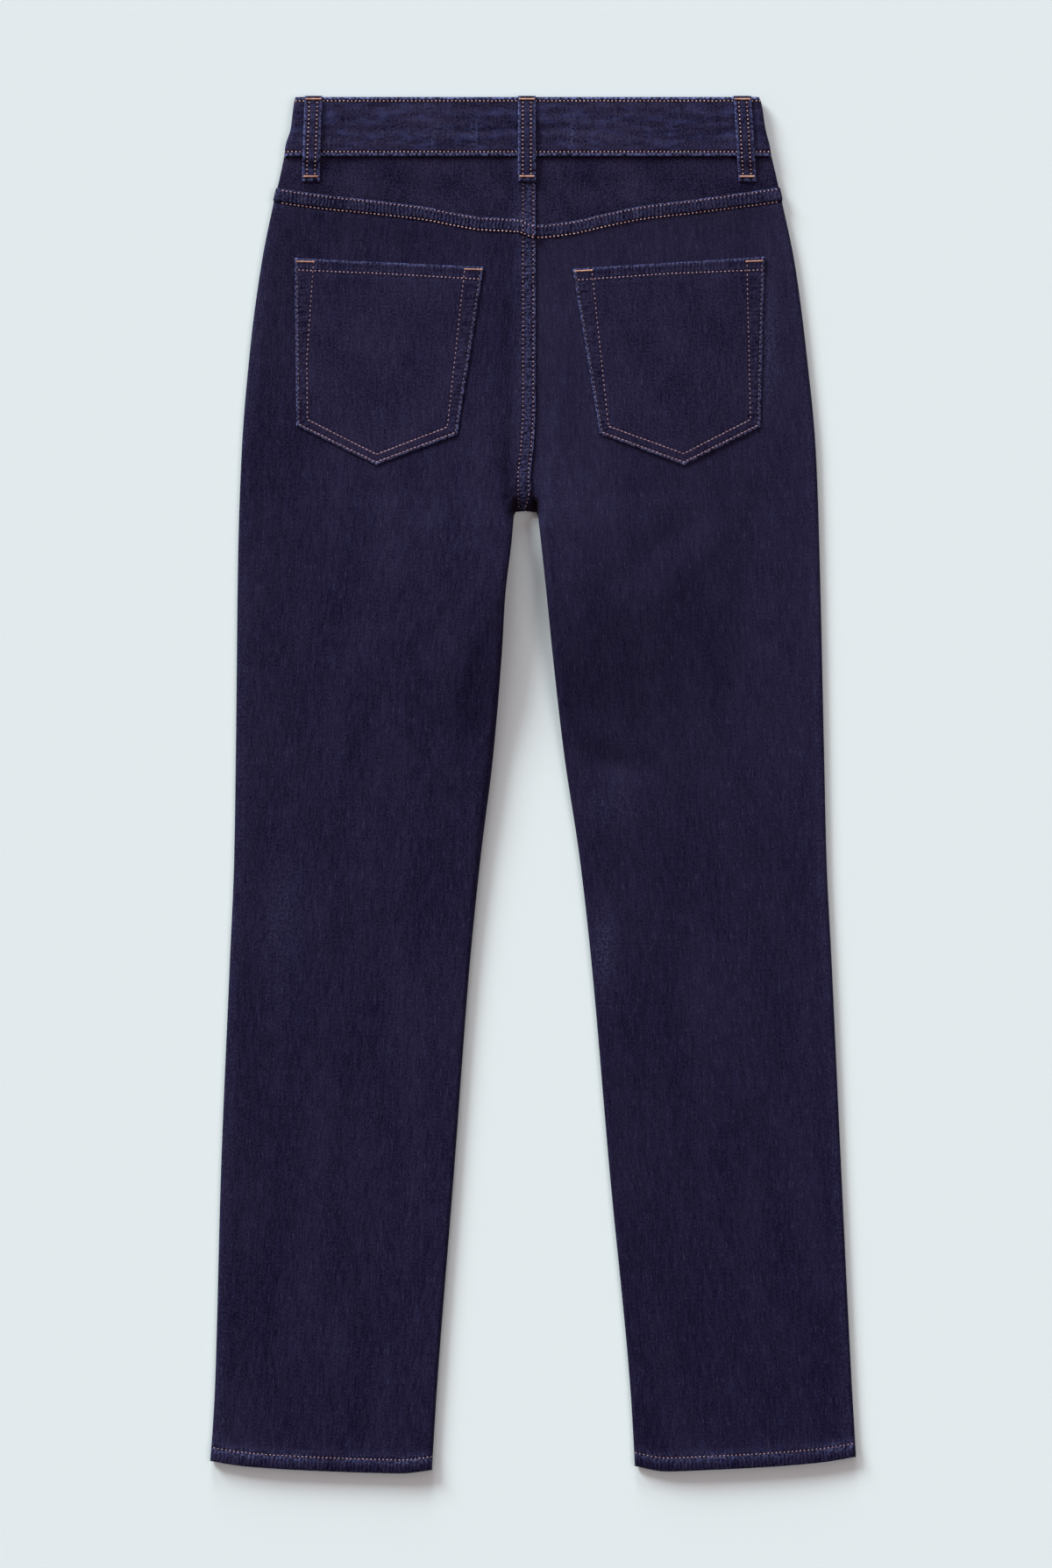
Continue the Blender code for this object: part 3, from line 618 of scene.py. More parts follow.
    def lapped_edge(self, side: Side, down: Array, laps: tuple[float, float], closed: float) -> Array:
        """The inner edge of a piece above the crotch, where the left one lies over the right one.

        Args:
            side: the wearer's side.
            down: places along.
            laps: how far past the seam the over and the under piece reach.
            closed: where the lap has narrowed to nothing.

        Returns:
            The edge's x.
        """
        closing = np.clip((down - closed + self.lap_close) / self.lap_close, 0.0, 1.0)
        lap = laps[0] if side is Side.LEFT else laps[1]
        return self.seat_x(down) + between(lap, side.value * GAP, closing)

    def seat_edge(self, side: Side, down: Array) -> Array:
        """The back pieces' edge at the seat seam."""
        return self.lapped_edge(side, down, (self.seat_lap, self.seat_under), self.seat_closed)

    def fly_edge(self, side: Side, down: Array) -> Array:
        """The front panels' edge at the fly."""
        return self.lapped_edge(side, down, (self.fly_lap, self.fly_under), self.fly_closed)

    def lower_yoke_row(self, x: Array) -> Array:
        """How far below the folded edge the yoke seam's lower row of stitches runs."""
        return self.yoke_rows[1] + 0.0012 * np.square(x / 0.2)

    def sink(self, distance: Array) -> Array:
        """How deep a row of stitches pulls the cloth in at this distance from it."""
        return self.thread_sink * bell(distance, self.thread_width)


SHAPE = Shape()


def place(x: Array, down: Array, z: Array) -> Array:
    """From places on the garment to points in the frame."""
    return np.stack(np.broadcast_arrays(x + SEAM_X, TOP_Y - down, z), axis=-1)


def deselect() -> None:
    """Leaves nothing selected."""
    if bpy.context.object and bpy.context.object.mode != "OBJECT":
        bpy.ops.object.mode_set(mode="OBJECT")
    bpy.ops.object.select_all(action="DESELECT")


def linear(colour: str) -> tuple[float, float, float, float]:
    """An sRGB hex value as a linear colour.

    Args:
        colour: six hex digits after a hash sign.

    Returns:
        Red, green, blue and an alpha of 1.
    """
    parts = [int(colour[k : k + 2], 16) / 255 for k in (1, 3, 5)]
    red, green, blue = (c / 12.92 if c <= 0.04045 else ((c + 0.055) / 1.055) ** 2.4 for c in parts)
    return red, green, blue, 1.0


def add_node(tree: bpy.types.NodeTree, kind: str, *values: object, output: int | str = 0, **settings: object) -> Socket:
    """Adds a node with its settings and links.

    Args:
        tree: the material's node tree.
        kind: the node's type, less its first word.
        *values: for its sockets in turn, another node's output or a value, and None leaves a socket as it is. A
            dictionary gives them by name instead.
        output: which output is wanted.
        **settings: the node's own properties.

    Returns:
        That output.
    """
    node = tree.nodes.new(f"ShaderNode{kind}")
    for name, value in settings.items():
        setattr(node, name, value)
    named = values[0] if values and isinstance(values[0], dict) else dict(enumerate(values))
    for socket, value in named.items():
        if isinstance(value, Socket):
            tree.links.new(value, node.inputs[socket])
        elif value is not None:
            node.inputs[socket].default_value = value
    return node.outputs[output]


def reckon(tree: Tree, operation: str, *values: Socket | float, clamp: bool = False) -> Socket:
    """Adds a sum, product or other operation on numbers."""
    return add_node(tree, "Math", *values, operation=operation, use_clamp=clamp)


def mixed(tree: Tree, share: Socket, start: object, end: object) -> Socket:
    """Adds the colour at this share of the way from start to end."""
    return add_node(tree, "Mix", {0: share, 6: start, 7: end}, output=2, data_type="RGBA")


def new_material(name: str, **plain: object) -> tuple[bpy.types.Material, Tree, bpy.types.Node]:
    """Starts a material.

    Args:
        name: the material's name.
        **plain: the shader's plain values, by its sockets' names in lower case with underscores.

    Returns:
        The material, its node tree and its Principled shader.
    """
    material = bpy.data.materials.new(name)
    material.use_nodes = True
    shader = material.node_tree.nodes["Principled BSDF"]
    sockets = {socket.name.lower().replace(" ", "_"): socket for socket in shader.inputs}
    for socket_name, value in plain.items():
        sockets[socket_name].default_value = value
    return material, material.node_tree, shader


@dataclass(frozen=True)
class RingSpunDenim:
    """Stretch denim: indigo warp over white weft in a right-hand twill, rinsed once.

    The warp covers the cloth, so it looks nearly black-blue and matt. Slubs in the warp show as fine streaks along
    the leg, the dye lies unevenly between them, and rubbed folds show the yarn's pale core.
    """

    name: str
    deep: str = "#080321"
    light: str = "#37314D"
    washed: str = "#3A3E6C"
    core: str = "#686FA2"
    # painted shade: the colour the seam mask lays along rows of stitches, beside the waistband's lower edge and the
    # legs' folded edge on the yoke, and in the crotch hollow
    stained: str = "#10040B"
    fleck: str = "#55587F"
    fade: float = 0.0
    falloff: float = 0.0
    contrast: float = 1.0
    shares: tuple[float, float, float, float] = (0.75, 1.15, 0.30, 0.40)  # of the slubs, grain, clouds and broad parts
    wash: float = 0.15
    wash_size: tuple[float, float] = (5 * MM, 26 * MM)
    wale: float = 0.9 * MM  # real wales lie 0.6 mm apart; a little coarser so that they show
    grain: tuple[float, float] = (1.3 * MM, 1.6 * MM)  # real yarns are 0.4 mm wide; coarser so that they show
    slub: tuple[float, float] = (1.4 * MM, 14 * MM)  # real slubs are one or two yarns wide, 0.5 mm; coarser too
    cloud: tuple[float, float] = (3.6 * MM, 20 * MM)
    broad: tuple[float, float] = (24 * MM, 110 * MM)
    pleat: float = 3.0 * MM
    ladder: float = 8 * MM

    def noise(self, tree: Tree, cut: Socket, size: tuple[float, float], detail: float = 2.0) -> Socket:
        """A noise of cells of this width and length on the cut cloth."""
        scaled = add_node(tree, "Mapping", {"Vector": cut, "Scale": (1 / size[0], 1 / size[1], 1.0)})
        return add_node(tree, "TexNoise", {"Vector": scaled, "Scale": 1.0, "Detail": detail})

    def spots(self, tree: Tree, noise: Socket, gain: float, cut_off: float, share: Socket | float) -> Socket:
        """The highest parts of a noise, softly cut off and multiplied by a share."""
        kept = reckon(tree, "MULTIPLY_ADD", noise, gain, -cut_off, clamp=True)
        return reckon(tree, "MULTIPLY", kept, share, clamp=True)

    def gathered(self, tree: Tree, cut: Socket) -> Socket:
        """How high the cloth stands where a row of stitches gathers it: a pleat at each stitch, over coarser waves.

        Args:
            tree: the material's node tree.
            cut: the place on the flat cloth.

        Returns:
            The height's output.
        """
        pucker = add_node(tree, "Attribute", output="Fac", attribute_name="pucker")
        drift = self.noise(tree, cut, (7 * MM, 7 * MM), 1.0)
        total = 0.0
        for axis, sign, size, share in (
            (0, 1.0, (self.ladder, 24 * MM), 0.18), (1, -1.0, (7 * MM, 0.6 * self.ladder), 0.05)
        ):
            strength = reckon(tree, "MULTIPLY", pucker, sign)
            strength = reckon(tree, "MAXIMUM", strength, 0.0)
            along = add_node(tree, "SeparateXYZ", cut, output=axis)
            phase = reckon(tree, "MULTIPLY", along, 2 * math.pi / self.pleat)
            phase = reckon(tree, "MULTIPLY_ADD", drift, 8.0, phase)
            pleats = reckon(tree, "SINE", phase)
            wave = reckon(tree, "SUBTRACT", self.noise(tree, cut, size, 1.0), 0.5)
            wave = reckon(tree, "MULTIPLY_ADD", pleats, share, wave)
            total = reckon(tree, "MULTIPLY_ADD", wave, strength, total)
        return total

    def make(self) -> bpy.types.Material:
        """Builds the material."""
        material, tree, shader = new_material(
            self.name, roughness=0.78, specular_ior_level=0.08, sheen_weight=0.04, sheen_roughness=0.45,
            sheen_tint=linear("#8F96C0"),
        )
        cut = add_node(tree, "UVMap", uv_map="cut")
        wear = add_node(tree, "Attribute", output="Fac", attribute_name="wear")
        seam = add_node(tree, "Attribute", output="Fac", attribute_name="seam")
        gathered = self.gathered(tree, cut)
        slub, yarn = self.noise(tree, cut, self.slub), self.noise(tree, cut, self.grain, 1.0)
        cloud, broad = self.noise(tree, cut, self.cloud, 1.0), self.noise(tree, cut, self.broad, 0.5)
        tone = reckon(tree, "MULTIPLY_ADD", gathered, 1.1, 0.285 + self.fade)
        for texture, share in zip((slub, yarn, cloud, broad), self.shares):
            level = reckon(tree, "SUBTRACT", texture, 0.5)
            tone = reckon(tree, "MULTIPLY_ADD", level, share * self.contrast, tone)
        down = add_node(tree, "SeparateXYZ", cut, output=1)
        tone = reckon(tree, "MULTIPLY_ADD", down, -self.falloff, tone, clamp=True)
        colour = mixed(tree, tone, linear(self.deep), linear(self.light))
        washed = self.spots(tree, self.noise(tree, cut, self.wash_size, 3.0), 3.0, 1.45, self.wash)
        flecks = self.spots(tree, self.noise(tree, cut, (1.2 * MM, 8 * MM)), 5.0, 3.0, 0.25)
        # painted shade: the seam mask darkens the cloth towards the shade colour
        painted_shade = reckon(tree, "MULTIPLY", seam, 0.8, clamp=True)
        rubbed = self.spots(tree, self.noise(tree, cut, (2.0 * MM, 2.0 * MM)), 5.5, 2.35, wear)
        for share, shade in ((washed, self.washed), (flecks, self.fleck), (painted_shade, self.stained), (rubbed, self.core)):
            colour = mixed(tree, share, colour, linear(shade))
        tree.links.new(colour, shader.inputs["Base Color"])
        tree.links.new(self.relief(tree, cut, slub, yarn, gathered), shader.inputs["Normal"])
        return material

    def relief(self, tree: Tree, cut: Socket, slub: Socket, yarn: Socket, gathered: Socket) -> Socket:
        """The bump of twill, slubs and puckered seams.

        Args:
            tree: the material's node tree.
            cut: the place on the flat cloth.
            slub: the streaks' noise.
            yarn: the yarns' noise.
            gathered: how high the seams' puckers stand.

        Returns:
            The normal's output.
        """
        slant = add_node(tree, "VectorMath", cut, (1.0, 1.0, 0.0), output="Value", operation="DOT_PRODUCT")
        phase = reckon(tree, "MULTIPLY", slant, 2 * math.pi / (self.wale * math.sqrt(2)))
        uneven = reckon(tree, "MULTIPLY_ADD", yarn, 2.5, phase)
        twill = reckon(tree, "SINE", uneven)
        height = reckon(tree, "MULTIPLY_ADD", twill, 0.16, slub)
        height = reckon(tree, "MULTIPLY_ADD", yarn, 0.6, height)
        fine = add_node(tree, "Bump", {"Strength": 0.55, "Distance": 0.16 * MM, "Height": height})
        return add_node(tree, "Bump", {"Strength": 1.0, "Distance": 2.2 * MM, "Height": gathered, "Normal": fine})


@dataclass(frozen=True)
class CorespunThread:
    """Topstitching thread: cotton spun round a polyester core, dyed tan, with a soft lustre where it bends."""

    name: str
    pale: str
    dark: str

    def make(self) -> bpy.types.Material:
        """Builds the material."""
        material, tree, shader = new_material(self.name, roughness=0.5, specular_ior_level=0.35, sheen_weight=0.1)
        spot = add_node(tree, "TexCoord", output="Object")
        shade = add_node(tree, "TexNoise", {"Vector": spot, "Scale": 260.0, "Detail": 2.0})
        share = reckon(tree, "MULTIPLY_ADD", shade, 2.4, -0.7, clamp=True)
        tree.links.new(mixed(tree, share, linear(self.dark), linear(self.pale)), shader.inputs["Base Color"])
        plies = add_node(tree, "TexNoise", {"Vector": spot, "Scale": 3200.0, "Detail": 1.0})
        bump = add_node(tree, "Bump", {"Strength": 0.5, "Distance": 0.1 * MM, "Height": plies})
        tree.links.new(bump, shader.inputs["Normal"])
        return material


@dataclass(frozen=True)
class AgedBrass:
    """Stamped brass, plated in copper and rubbed back: warm and satin, darker in patches of patina spread by a noise.
    """

    name: str = "aged_brass"
    hollow: str = "#7A5234"
    rubbed: str = "#B98A58"

    def make(self) -> bpy.types.Material:
        """Builds the material."""
        material, tree, shader = new_material(self.name, metallic=1.0)
        spot = add_node(tree, "TexCoord", output="Object")
        patina = add_node(tree, "TexNoise", {"Vector": spot, "Scale": 500.0, "Detail": 4.0})
        share = reckon(tree, "MULTIPLY_ADD", patina, 2.5, -0.75, clamp=True)
        tree.links.new(mixed(tree, share, linear(self.hollow), linear(self.rubbed)), shader.inputs["Base Color"])
        polish = reckon(tree, "MULTIPLY_ADD", share, -0.2, 0.48)
        tree.links.new(polish, shader.inputs["Roughness"])
        return material


@dataclass(frozen=True)
class PaperSweep:
    """A studio's paper background: matt and even, a cool off-white."""

    name: str = "paper_sweep"
    colour: str = "#E2EAED"

    def make(self) -> bpy.types.Material:
        """Builds the material."""
        material, tree, shader = new_material(self.name, roughness=0.95, specular_ior_level=0.1)
        spot = add_node(tree, "TexCoord", output="Object")
        tooth = add_node(tree, "TexNoise", {"Vector": spot, "Scale": 900.0, "Detail": 3.0})
        pale = linear(self.colour)
        colour = mixed(tree, tooth, (*(0.985 * c for c in pale[:3]), 1.0), pale)
        tree.links.new(colour, shader.inputs["Base Color"])
        return material


@dataclass
class Patch:
    """The points of one sheet of cloth as a grid of rows and columns, with their place on the cut and their finish:
    wear, painted shade along seams and in the crotch hollow, and pucker.
    """

    points: Array
    cut: Array
    wear: Array
    # seam: painted shade along rows of stitches, beside raised edges and in the crotch hollow
    seam: Array
    pucker: Array

    def flipped(self) -> "Patch":
        """The same sheet with its outer face on the other side."""
        parts = (self.points, self.cut, self.wear, self.seam, self.pucker)
        return Patch(*(part[:, ::-1] for part in parts))


@dataclass
class Cutting:
    """A sheet's flat cut: its width and length, and its area where it isn't a rectangle."""

    width: float
    length: float
    area: float | None = None
    rests_on: tuple[str, ...] = ()


def lay_cloth(name: str, patch: Patch, wall: float, material: bpy.types.Material) -> bpy.types.Object:
    """Makes a sheet of cloth: a grid shaped point by point and given its wall on the inner side.

    Args:
        name: the piece's name.
        patch: the sheet's points and finish.
        wall: its thickness.
        material: its finish.

    Returns:
        The finished sheet.
    """
    deselect()
    rows, columns = patch.wear.shape
    bpy.ops.mesh.primitive_grid_add(x_subdivisions=columns - 1, y_subdivisions=rows - 1, size=1.0)
    sheet = bpy.context.object
    sheet.name = sheet.data.name = name
    mesh = sheet.data
    mesh.vertices.foreach_set("co", patch.points[::-1].astype(np.float32).ravel())
    for field_name in ("wear", "seam", "pucker"):
        values = getattr(patch, field_name)[::-1]
        mesh.attributes.new(field_name, "FLOAT", "POINT").data.foreach_set("value", values.astype(np.float32).ravel())
    layer = mesh.uv_layers.active or mesh.uv_layers.new()
    layer.name = "cut"
    corners = np.zeros(len(mesh.loops), np.int32)
    mesh.loops.foreach_get("vertex_index", corners)
    layer.data.foreach_set("uv", patch.cut[::-1].reshape(-1, 2)[corners].astype(np.float32).ravel())
    mesh.update()
    thickness = sheet.modifiers.new("wall", "SOLIDIFY")
    thickness.thickness = wall
    thickness.offset = -1
    thickness.use_quality_normals = True
    bpy.ops.object.modifier_apply(modifier="wall")
    points = np.zeros(3 * len(mesh.vertices), np.float32)
    mesh.vertices.foreach_get("co", points)
    points[2::3] = np.maximum(points[2::3], 0.0)  # nothing reaches below the surface
    mesh.vertices.foreach_set("co", points)
    mesh.update()
    mesh.materials.append(material)
    mesh.shade_smooth()
    return sheet


def row_levels(rows: tuple[Stretch, ...]) -> Array:
    """The distance below a panel's upper edge of each of its rows.

    Args:
        rows: the stretches it is divided into.

    Returns:
        The distances, from 0.
    """
    levels, start = [np.zeros(1)], 0.0
    for stretch in rows:
        levels.append(np.linspace(start, stretch.end, stretch.rows + 1)[1:])
        start = stretch.end
    return np.concatenate(levels)


def hem_share(level: Array) -> Array:
    """How far a leg's row has taken on the hem's bow."""
    return eased((level - 0.930) / 0.117)


def leg_cut(side: Side, x: Array, down: Array) -> Array:
    """The place on the flat cut of a leg, whose grain runs down its middle."""
    middle = side.value * (0.110 + 0.070 * (down - 0.30))
    return np.stack([x - middle + side.value * 0.4, down], axis=-1)


@dataclass
class Panels:
    """Columns of points across the body's panels, finer at their edges, where seams run."""

    side_steps: int = 8
    middle_steps: int = 64
    gathered: int = 6
    rounding: int = 9
    blend: float = 0.0240
    gather: float = 0.00006
    seat_left: tuple[float, ...] = (
        0.0043, 0.0039, 0.0034, 0.0029, 0.0024, 0.0018, 0.0008, -0.0010, -0.0028, -0.0042, -0.0050, -0.0058,
        -0.0068, -0.0080, -0.0095, -0.0115, -0.0135, -0.0160, -0.0200, -0.0255,
    )
    seat_right: tuple[float, ...] = (
        -0.0040, -0.0015, 0.0010, 0.0030, 0.0040, 0.0046, 0.0052, 0.0060, 0.0070, 0.0080, 0.0092, 0.0105,
        0.0120, 0.0136, 0.0150, 0.0165, 0.0180, 0.0205, 0.0230, 0.0260,
    )
    fly_left: tuple[float, ...] = (
        0.0020, 0.0010, 0.0, -0.0015, -0.0030, -0.0045, -0.0060, -0.0080, -0.0095, -0.0110, -0.0125, -0.0140,
        -0.0155, -0.0170, -0.0185, -0.0200, -0.0215, -0.0230, -0.0245, -0.0260,
    )
    fly_right: tuple[float, ...] = (
        -0.0060, -0.0040, -0.0020, 0.0, 0.0020, 0.0030, 0.0036, 0.0042, 0.0050, 0.0058, 0.0066, 0.0076,
        0.0090, 0.0105, 0.0120, 0.0140, 0.0160, 0.0185, 0.0210, 0.0240,
    )

    def inner(self, side: Side, down: Array, step: int, edge: Callable, offsets: tuple[float, ...]) -> Array:
        """The x of one of the columns by the inner edge.

        Args:
            side: the wearer's side.
            down: places along.
            step: 0 at the edge, then the number of the column.
            edge: gives the edge above the crotch.
            offsets: how far from the seam each column stands there.

        Returns:
            The column's x.
        """
        above = edge(side, down) if step == 0 else SHAPE.seat_x(down) + offsets[step - 1]
        at_crotch = self.below_crotch(side, np.full(down.shape, CROTCH + SHAPE.step), step, len(offsets))
        if step < self.gathered:
            brink = self.below_crotch(side, np.full(down.shape, CROTCH + SHAPE.step), 0, len(offsets))
            at_crotch = between(edge(side, down), brink, step / self.gathered)
        above = between(above, at_crotch, eased((down - CROTCH + self.blend) / self.blend))
        return np.where(down < CROTCH, above, self.below_crotch(side, down, step, len(offsets)))

    def below_crotch(self, side: Side, down: Array, step: int, count: int) -> Array:
        """The x of one of the columns by the inseam.

        Args:
            side: the wearer's side.
            down: places along.
            step: 0 at the edge, then the number of the column.
            count: how many columns there are.

        Returns:
            The column's x. The first ones gather close to the edge, where the seat's lap has ended.
        """
        width = SHAPE.height("inner_turn", down)
        round_end = self.gathered + self.rounding
        if step <= self.gathered:
            part = self.gather * step
        elif step <= round_end:
            part = turned(width, (step - self.gathered) / self.rounding) + self.gather * self.gathered
        else:
            part = between(width, np.maximum(0.024, width + 0.010), (step - round_end) / (count - round_end))
            part = part + self.gather * self.gathered
        return SHAPE.inseam_x(side, down) + side.value * part

    def across(
        self, side: Side, down: Array, out: Array, edge: Callable, offsets: tuple[float, ...], cut_away: Array = 0.0
    ) -> Array:
        """The x of every point of a panel.

        Args:
            side: the wearer's side.
            down: the points' distance down, rows by columns.
            out: how far out the cloth lies at each point.
            edge: gives the inner edge above the crotch.
            offsets: how far from the seam the columns there stand.
            cut_away: how far in from the side edge the panel starts.

        Returns:
            The x of each point.
        """
        columns = down.shape[1]
        start_width = SHAPE.side_round + out
        outer = SHAPE.outer_x(side, down) + side.value * (out - cut_away)
        x = np.zeros(down.shape)
        for k in range(columns):
            if k <= self.side_steps:
                x[:, k] = outer[:, k] - side.value * turned(start_width[:, k], k / self.side_steps)
            elif k >= columns - len(offsets) - 1:
                x[:, k] = self.inner(side, down[:, k], columns - 1 - k, edge, offsets)
            else:
                end = self.inner(side, down[:, k], len(offsets), edge, offsets)
                share = (k - self.side_steps) / (columns - len(offsets) - 1 - self.side_steps)
                x[:, k] = between(outer[:, k] - side.value * start_width[:, k], end, share)
        return x

    def seat(self, side: Side) -> tuple[float, ...]:
        """How far from the seat seam the columns of a back piece stand."""
        return self.seat_left if side is Side.LEFT else self.seat_right

    def columns(self, offsets: tuple[float, ...], middle: int | None = None) -> int:
        """How many columns of points a panel has."""
        return self.side_steps + (middle or self.middle_steps) + len(offsets) + 1


PANELS = Panels()


def seat_finish(x: Array, down: Array, lowest: float) -> tuple[Array, Array, Array]:
    """The wear, the painted shade and the pucker of the left pieces along the seat seam.

    Args:
        x: places across.
        down: places along.
        lowest: where the seam ends.

    Returns:
        The wear, the painted shade and the pucker.
    """
    from_seam = x - SHAPE.seat_x(down)
    here = np.where(down < lowest, 1.0, 0.0)
    wear = here * (0.66 * bell(from_seam - 0.0041, 0.0007) + 0.22 * bell(from_seam + 0.0020, 0.0050))
    # painted shade along the seat seam's rows of stitches
    seam = here * sum(bell(from_seam - row, 0.0008) for row in SHAPE.seat_rows)
    wear = wear * (1 - 0.85 * seam)
    # and painted shade in the crotch hollow
    seam = seam + crotch_hollow(x, down)
    pucker = -0.85 * here * eased((from_seam + 0.0065) / 0.001) * eased((0.0046 - from_seam) / 0.001)
    return wear, seam, pucker


def crotch_hollow(x: Array, down: Array) -> Array:
    """Painted shade: 1 in the dark hollow round the seat seam's end, where no light reaches.

    Args:
        x: places across.
        down: places along.

    Returns:
        The painted shade there.
    """
    from_seam = np.abs(x - SHAPE.seat_x(down))
    across = eased((from_seam - 0.0048) / 0.0010) * eased((0.0120 - from_seam) / 0.0030)
    beside = 1.15 * across * eased((down - CROTCH + 0.0135) / 0.0050)
    on_seam = 0.75 * (from_seam < 0.0060) * eased((down - CROTCH + 0.0080) / 0.0050)
    return np.maximum(beside, on_seam) * (down < CROTCH + 0.002)


@dataclass
class BackLeg:
    """A back leg panel, from its felled edge over the yoke to the turned-up hem."""

    side: Side
    hem_level: float = HEM_ROW
    hem_fold: float = 0.0006

    def patch(self) -> Patch:
        """Sets out the panel's points."""
        side, shape = self.side, SHAPE
        offsets = PANELS.seat(side)
        columns = PANELS.columns(offsets)
        below = row_levels(BACK_ROWS)[:, None]
        share = np.linspace(0.0, 1.0, columns)[None, :]
        level = TOP_ROW + below
        top_share = 1 - eased((below - shape.fell - shape.ramp) / 0.120)
        inner_edge = np.where(level < CROTCH, shape.seat_edge(side, level), shape.inseam_x(side, level))
        x = between(shape.outer_x(side, level), inner_edge, share)
        for _ in range(4):
            across = (x - x[:, :1]) / (x[:, -1:] - x[:, :1])
            bow = shape.runs[f"bow_{side.word}"].at(across) * hem_share(level)
            down = level + (shape.yoke_down(x) - TOP_ROW) * top_share + bow
            down = np.where(level > CROTCH, np.maximum(down, CROTCH + 0.0001), np.minimum(down, CROTCH - 0.0001))
            out = 0.5 * LAP * shape.lap_at_yoke(x, down)
            x = PANELS.across(side, down, out, shape.seat_edge, offsets)
        z = shape.leg_top(side, x, down)
        flat = np.broadcast_to(level, x.shape)
        z = z + self.hem_relief(flat, x)
        below = np.broadcast_to(below, x.shape)
        from_fold = down - shape.yoke_down(x)
        lower = shape.lower_yoke_row(x)
        z = z - shape.sink(from_fold - shape.yoke_rows[0]) - shape.sink(from_fold - lower)
        z = z - 0.0004 * bell(np.maximum(from_fold, 0.0), 0.0004)
        from_side = np.abs(shape.outer_x(side, down)) - side.value * x
        between_rows = 0.13 * eased(from_fold / 0.002) * eased((lower - from_fold) / 0.001)
        wear = 0.75 * bell(from_fold - 0.0004, 0.0006) + between_rows
        wear = wear + 0.12 * bell(from_fold - lower - 0.0018, 0.0012) + 0.05 * eased((0.0105 - from_side) / 0.005)
        # the paler places add to the wear: rubbed places and one painted highlight
        wear = wear + shape.rubs(x, down)
        # painted shade along the yoke seam's two rows of stitches
        seam = 0.7 * (bell(from_fold - shape.yoke_rows[0], 0.0009) + bell(from_fold - lower, 0.0009))
        wear = wear * (1 - 0.7 * seam)
        pucker = 1.2 * eased((from_fold - 0.0002) / 0.001) * eased((lower + 0.0015 - from_fold) / 0.002)
        pucker = pucker * (0.3 + 0.7 * eased((from_side - 0.003) / 0.012))
        if side is Side.LEFT:
            more = seat_finish(x, down, CROTCH - 0.001)
            rows = sum(shape.sink(x - shape.seat_x(down) - row) for row in shape.seat_rows)
            z = z - np.where(down < CROTCH, rows, 0.0)
            wear, seam = wear + more[0], seam + more[1]
            pucker = np.where(pucker > 0.05, pucker, more[2])
        else:
            # painted shade in the crotch hollow
            seam = seam + crotch_hollow(x, down)
        hem = self.hem_finish(flat, x)
        wear, seam, pucker = wear + hem[0], seam + hem[1], pucker + hem[2]
        patch = Patch(place(x, down, z), leg_cut(side, x, down), wear, seam, pucker)
        return patch if side is Side.LEFT else patch.flipped()

    def hem_relief(self, level: Array, x: Array) -> Array:
        """How far the hem stands out: its fold, its stitched row and its rolled lower edge.

        Args:
            level: how far along the panel each point is.
            x: places across.

        Returns:
            The distances.
        """
        rise = self.hem_fold * eased((level - 1.043) / 0.004)
        roped = 0.00022 * np.sin(2 * math.pi * (x * 0.9 + level * 0.5) / 0.0075) * eased((level - 1.044) / 0.006)
        return rise + roped - SHAPE.sink(level - self.hem_level) - 0.0012 * eased((level - 1.0586) / 0.0014)

    def hem_finish(self, level: Array, x: Array) -> tuple[Array, Array, Array]:
        """The wear, the painted shade and the pucker of the hem.

        Args:
            level: how far along the panel each point is.
            x: places across.

        Returns:
            The wear, the painted shade and the pucker.
        """
        patches = 0.5 + 0.5 * np.sin(x * 95 + 0.7) * np.sin(x * 41 + 1.9)
        wear = (0.10 + 0.30 * patches) * bell(level - self.hem_level - 0.0018, 0.0022)
        wear = wear + 0.14 * patches * bell(level - self.hem_level + 0.0018, 0.0016)
        wear = wear + 0.20 * bell(level - HEM_EDGE, 0.0012)
        # painted shade along the hem's row of stitches
        seam = bell(level - self.hem_level, 0.0009)
        pucker = 0.55 * eased((level - 1.0455) / 0.003)
        return wear, seam, pucker

    def hem_row(self) -> Array:
        """The hem's row of stitches, as points."""
        patch = self.patch()
        points = patch.points if self.side is Side.LEFT else patch.points[:, ::-1]
        row = int(np.argmin(np.abs(row_levels(BACK_ROWS) + TOP_ROW - self.hem_level)))
        return points[row, 4:-5]


